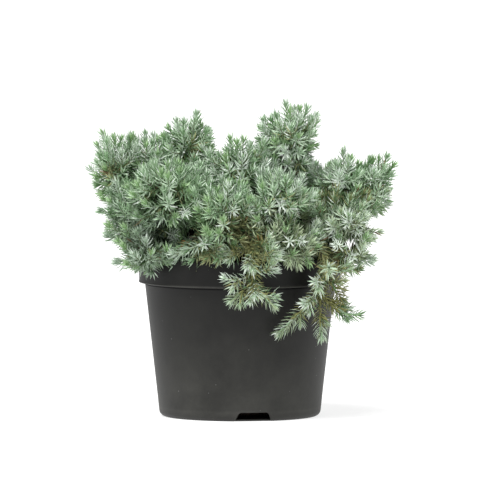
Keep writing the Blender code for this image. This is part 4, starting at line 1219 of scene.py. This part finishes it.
def make_chips(top_r):
    """Chips of bark scattered over the soil, inside a radius."""
    rng = random.Random(SEED)
    verts = []
    faces = []
    for i in range(CHIPS):
        r = math.sqrt(rng.random()) * (top_r - CHIP_EDGE)
        angle = rng.uniform(0, math.tau)
        spot = Vector((r * math.cos(angle), r * math.sin(angle), SOIL_TOP + rng.uniform(*CHIP_RISE)))
        if (spot.xy - TRUNK_FOOT.xy).length < CHIP_TRUNK_CLEAR:
            continue
        size = rng.uniform(*CHIP_SIZES)
        long = Vector([rng.uniform(-limit, limit) for limit in (1, 1, CHIP_TILT)]).normalized()
        wide = long.cross(UP).normalized()
        thick = wide.cross(long)
        base = len(verts)
        for a, b, c in CHIP_SHAPE:
            corner = spot + long * a * size + wide * b * size * CHIP_WIDE + thick * c * size * CHIP_THICK
            verts.append(tuple(corner + shaken(rng, size * CHIP_SHAKE)))
        for a, b, c, d in CHIP_FACES:
            faces += [(base + a, base + b, base + c), (base + a, base + c, base + d)]
    mats = [plain("chip_dark", (0.05, 0.032, 0.02), 0.9), plain("chip_pale", (0.13, 0.085, 0.05), 0.85)]
    pale = [int((k // CHIP_TRIANGLES) % PALE_CHIP_EVERY == 0) for k in range(len(faces))]
    finish_piece(add_mesh("bark_chips", verts, faces, mats, pale), "soil", "soil")


def make_soil():
    """The compost: a crumbly top with scattered bark chips, and plain sides inside the pot."""
    side = WALL_T + SOIL_GAP
    top_r = BAND_R - side
    foot_r = wall_r(CORNER_R) - CORNER_R
    profile = [(0.0, BASE_T + SOIL_GAP), (foot_r - SOIL_FOOT_IN, BASE_T + SOIL_GAP)]
    profile += [(wall_r(z) - side, z) for z in (NOTCH_H + SOIL_FOOT_IN, WALL_Z[1], BAND_Z - SOIL_SHOULDER)]
    profile += [(top_r, BAND_Z + WALL_T + SOIL_GAP), (top_r, SOIL_TOP - SOIL_EDGE)]
    profile += [(top_r * (1 - i / SOIL_RINGS), SOIL_TOP) for i in range(SOIL_RINGS + 1)]
    soil = lathe("compost", profile, SOIL_SEGMENTS)
    for vert in soil.data.vertices:
        spot = vert.co / MM
        if spot.z > SOIL_TOP - SOIL_TOP_SKIN:
            lump = noise.fractal(spot / LUMPS[0], *LUMPS[1:])
            crumb = noise.fractal(spot / CRUMBS[0], *CRUMBS[1:])
            edge = min(1.0, (top_r - spot.xy.length) / LUMP_EDGE)
            vert.co.z += (LUMP_H * lump * edge + CRUMB_H * crumb) * MM
    soil.data.materials.append(rough_material(
        "compost", (0.03, 0.02, 0.013), 0.95, 0.2, 420.0, {"Scale": 160.0, "Detail": 6.0},
        ((0.30, (0.012, 0.008, 0.005)), (0.72, (0.075, 0.050, 0.030))), {"Strength": 0.6, "Distance": 0.0008}))
    shade_smooth(soil)
    finish_piece(soil, "soil", "soil")
    make_chips(top_r)


def limb_tube(work, line, radii, sides, lobes=None):
    """Adds a closed tube along a line of points to a bmesh, in metres."""
    rings = []
    side = None
    for i, spot in enumerate(line):
        axis = (line[min(i + 1, len(line) - 1)] - line[max(i - 1, 0)]).normalized()
        near = side or axis.orthogonal()
        side = (near - axis * near.dot(axis)).normalized()
        other = axis.cross(side)
        ring = []
        for k in range(sides):
            angle = math.tau * k / sides
            radius = radii[i] + (lobes(i, angle) if lobes else 0.0)
            outward = side * math.cos(angle) + other * math.sin(angle)
            ring.append(work.verts.new((spot + outward * radius) * MM))
        rings.append(ring)
    for low, high in zip(rings, rings[1:]):
        for k in range(sides):
            j = (k + 1) % sides
            work.faces.new((low[k], low[j], high[j], high[k]))
    work.faces.new(list(reversed(rings[0])))
    work.faces.new(rings[-1])


def make_bark():
    """One rough-barked body of the trunk and boughs."""
    work = bmesh.new()
    height = TRUNK_TOP.z - TRUNK_FOOT.z
    shares = [i / TRUNK_RINGS for i in range(TRUNK_RINGS + 1)]
    flare = [FLARE_EXTRA * max(0.0, 1.0 - share * height / FLARE_H) ** 2 for share in shares]
    limb_tube(work, [trunk_axis(share) for share in shares], [trunk_r(share) for share in shares], TRUNK_SIDES,
              lambda i, angle: flare[i] * (FLARE_PLAIN + (1 - FLARE_PLAIN) * math.cos(FLARE_LOBES * angle)))
    for share, tip, root_r, tip_r, sag in BOUGHS.values():
        tip = Vector(tip)
        heart = trunk_axis(share)
        out = tip - heart
        start = heart
        if share < 1.0:
            out.z = out.length * BOUGH_RISE
            start = heart + out.normalized() * trunk_r(share) * BOUGH_ROOT_OUT
        middle = (start + tip) / 2 - UP * sag
        ts = [i / BOUGH_RINGS for i in range(BOUGH_RINGS + 1)]
        line = [bezier(start, middle, tip, t) for t in ts]
        radii = [root_r + (tip_r - root_r) * t + BOUGH_COLLAR * (1 - t) ** BOUGH_COLLAR_POWER for t in ts]
        limb_tube(work, line, radii, BOUGH_SIDES)
    bark = add_bmesh("bark", work)
    bark.data.materials.append(rough_material(
        "bark_rough", (0.16, 0.10, 0.06), 0.9, 0.25, 260.0,
        {"Scale": 190.0, "Detail": 7.0, "Distortion": 0.8},
        ((0.30, (0.040, 0.026, 0.016)), (0.72, (0.17, 0.12, 0.075))), {"Strength": 0.7, "Distance": 0.0006}))
    for vert in bark.data.vertices:
        spot = Vector([value / size for value, size in zip(vert.co / MM, BARK_GRAIN)])
        vert.co += vert.normal * noise.fractal(spot, *BARK_FRACTAL) * BARK_RELIEF * MM
    shade_smooth(bark)
    finish_piece(bark, "bark", "trunk", *["bough_" + name for name in BOUGHS])


def make_stage():
    """The pale floor, the white studio round it and the soft key light."""
    mesh = bpy.data.meshes.new("floor")
    corners = [(x * FLOOR_HALF, y * FLOOR_HALF, 0) for x, y in ((-1, -1), (1, -1), (1, 1), (-1, 1))]
    mesh.from_pydata(corners, [], [(0, 1, 2, 3)])
    floor = add_object("floor", mesh)
    white = plain("floor_white", (FLOOR_COLOUR, FLOOR_COLOUR, FLOOR_COLOUR), 0.9, 0.1)
    feed(white, white.node_tree.nodes["Principled BSDF"],
         {"Emission Color": (1.0, 1.0, 1.0, 1.0), "Emission Strength": FLOOR_GLOW})
    mesh.materials.append(white)
    world = bpy.data.worlds.new("studio")
    world.use_nodes = True
    feed(world, world.node_tree.nodes["Background"], {"Color": (1.0, 1.0, 1.0, 1.0), "Strength": WORLD_LIGHT})
    bpy.context.scene.world = world
    lamp = bpy.data.lights.new("key", "SUN")
    lamp.angle = math.radians(KEY_SOFT_DEG)
    lamp.energy = KEY_LIGHT
    add_object("key", lamp).rotation_euler = (-KEY_FROM).to_track_quat("-Z", "Y").to_euler()


def make_camera():
    tilt = math.radians(CAMERA_TILT_DEG)
    data = bpy.data.cameras.new("camera")
    data.sensor_width = SENSOR
    data.lens = SENSOR * CAMERA_FAR / VIEW_WIDTH
    data.clip_end = CAMERA_CLIP
    camera = add_object("camera", data)
    camera.location = CAMERA_AIM + Vector((0.0, -math.cos(tilt), math.sin(tilt))) * CAMERA_FAR
    camera.rotation_euler = (math.pi / 2 - tilt, 0.0, 0.0)
    bpy.context.scene.camera = camera
    bpy.context.scene.view_settings.view_transform = "Standard"


make_camera()
make_stage()
make_pot()
make_soil()
make_bark()
grow_crown()

bpy.context.view_layer.update()
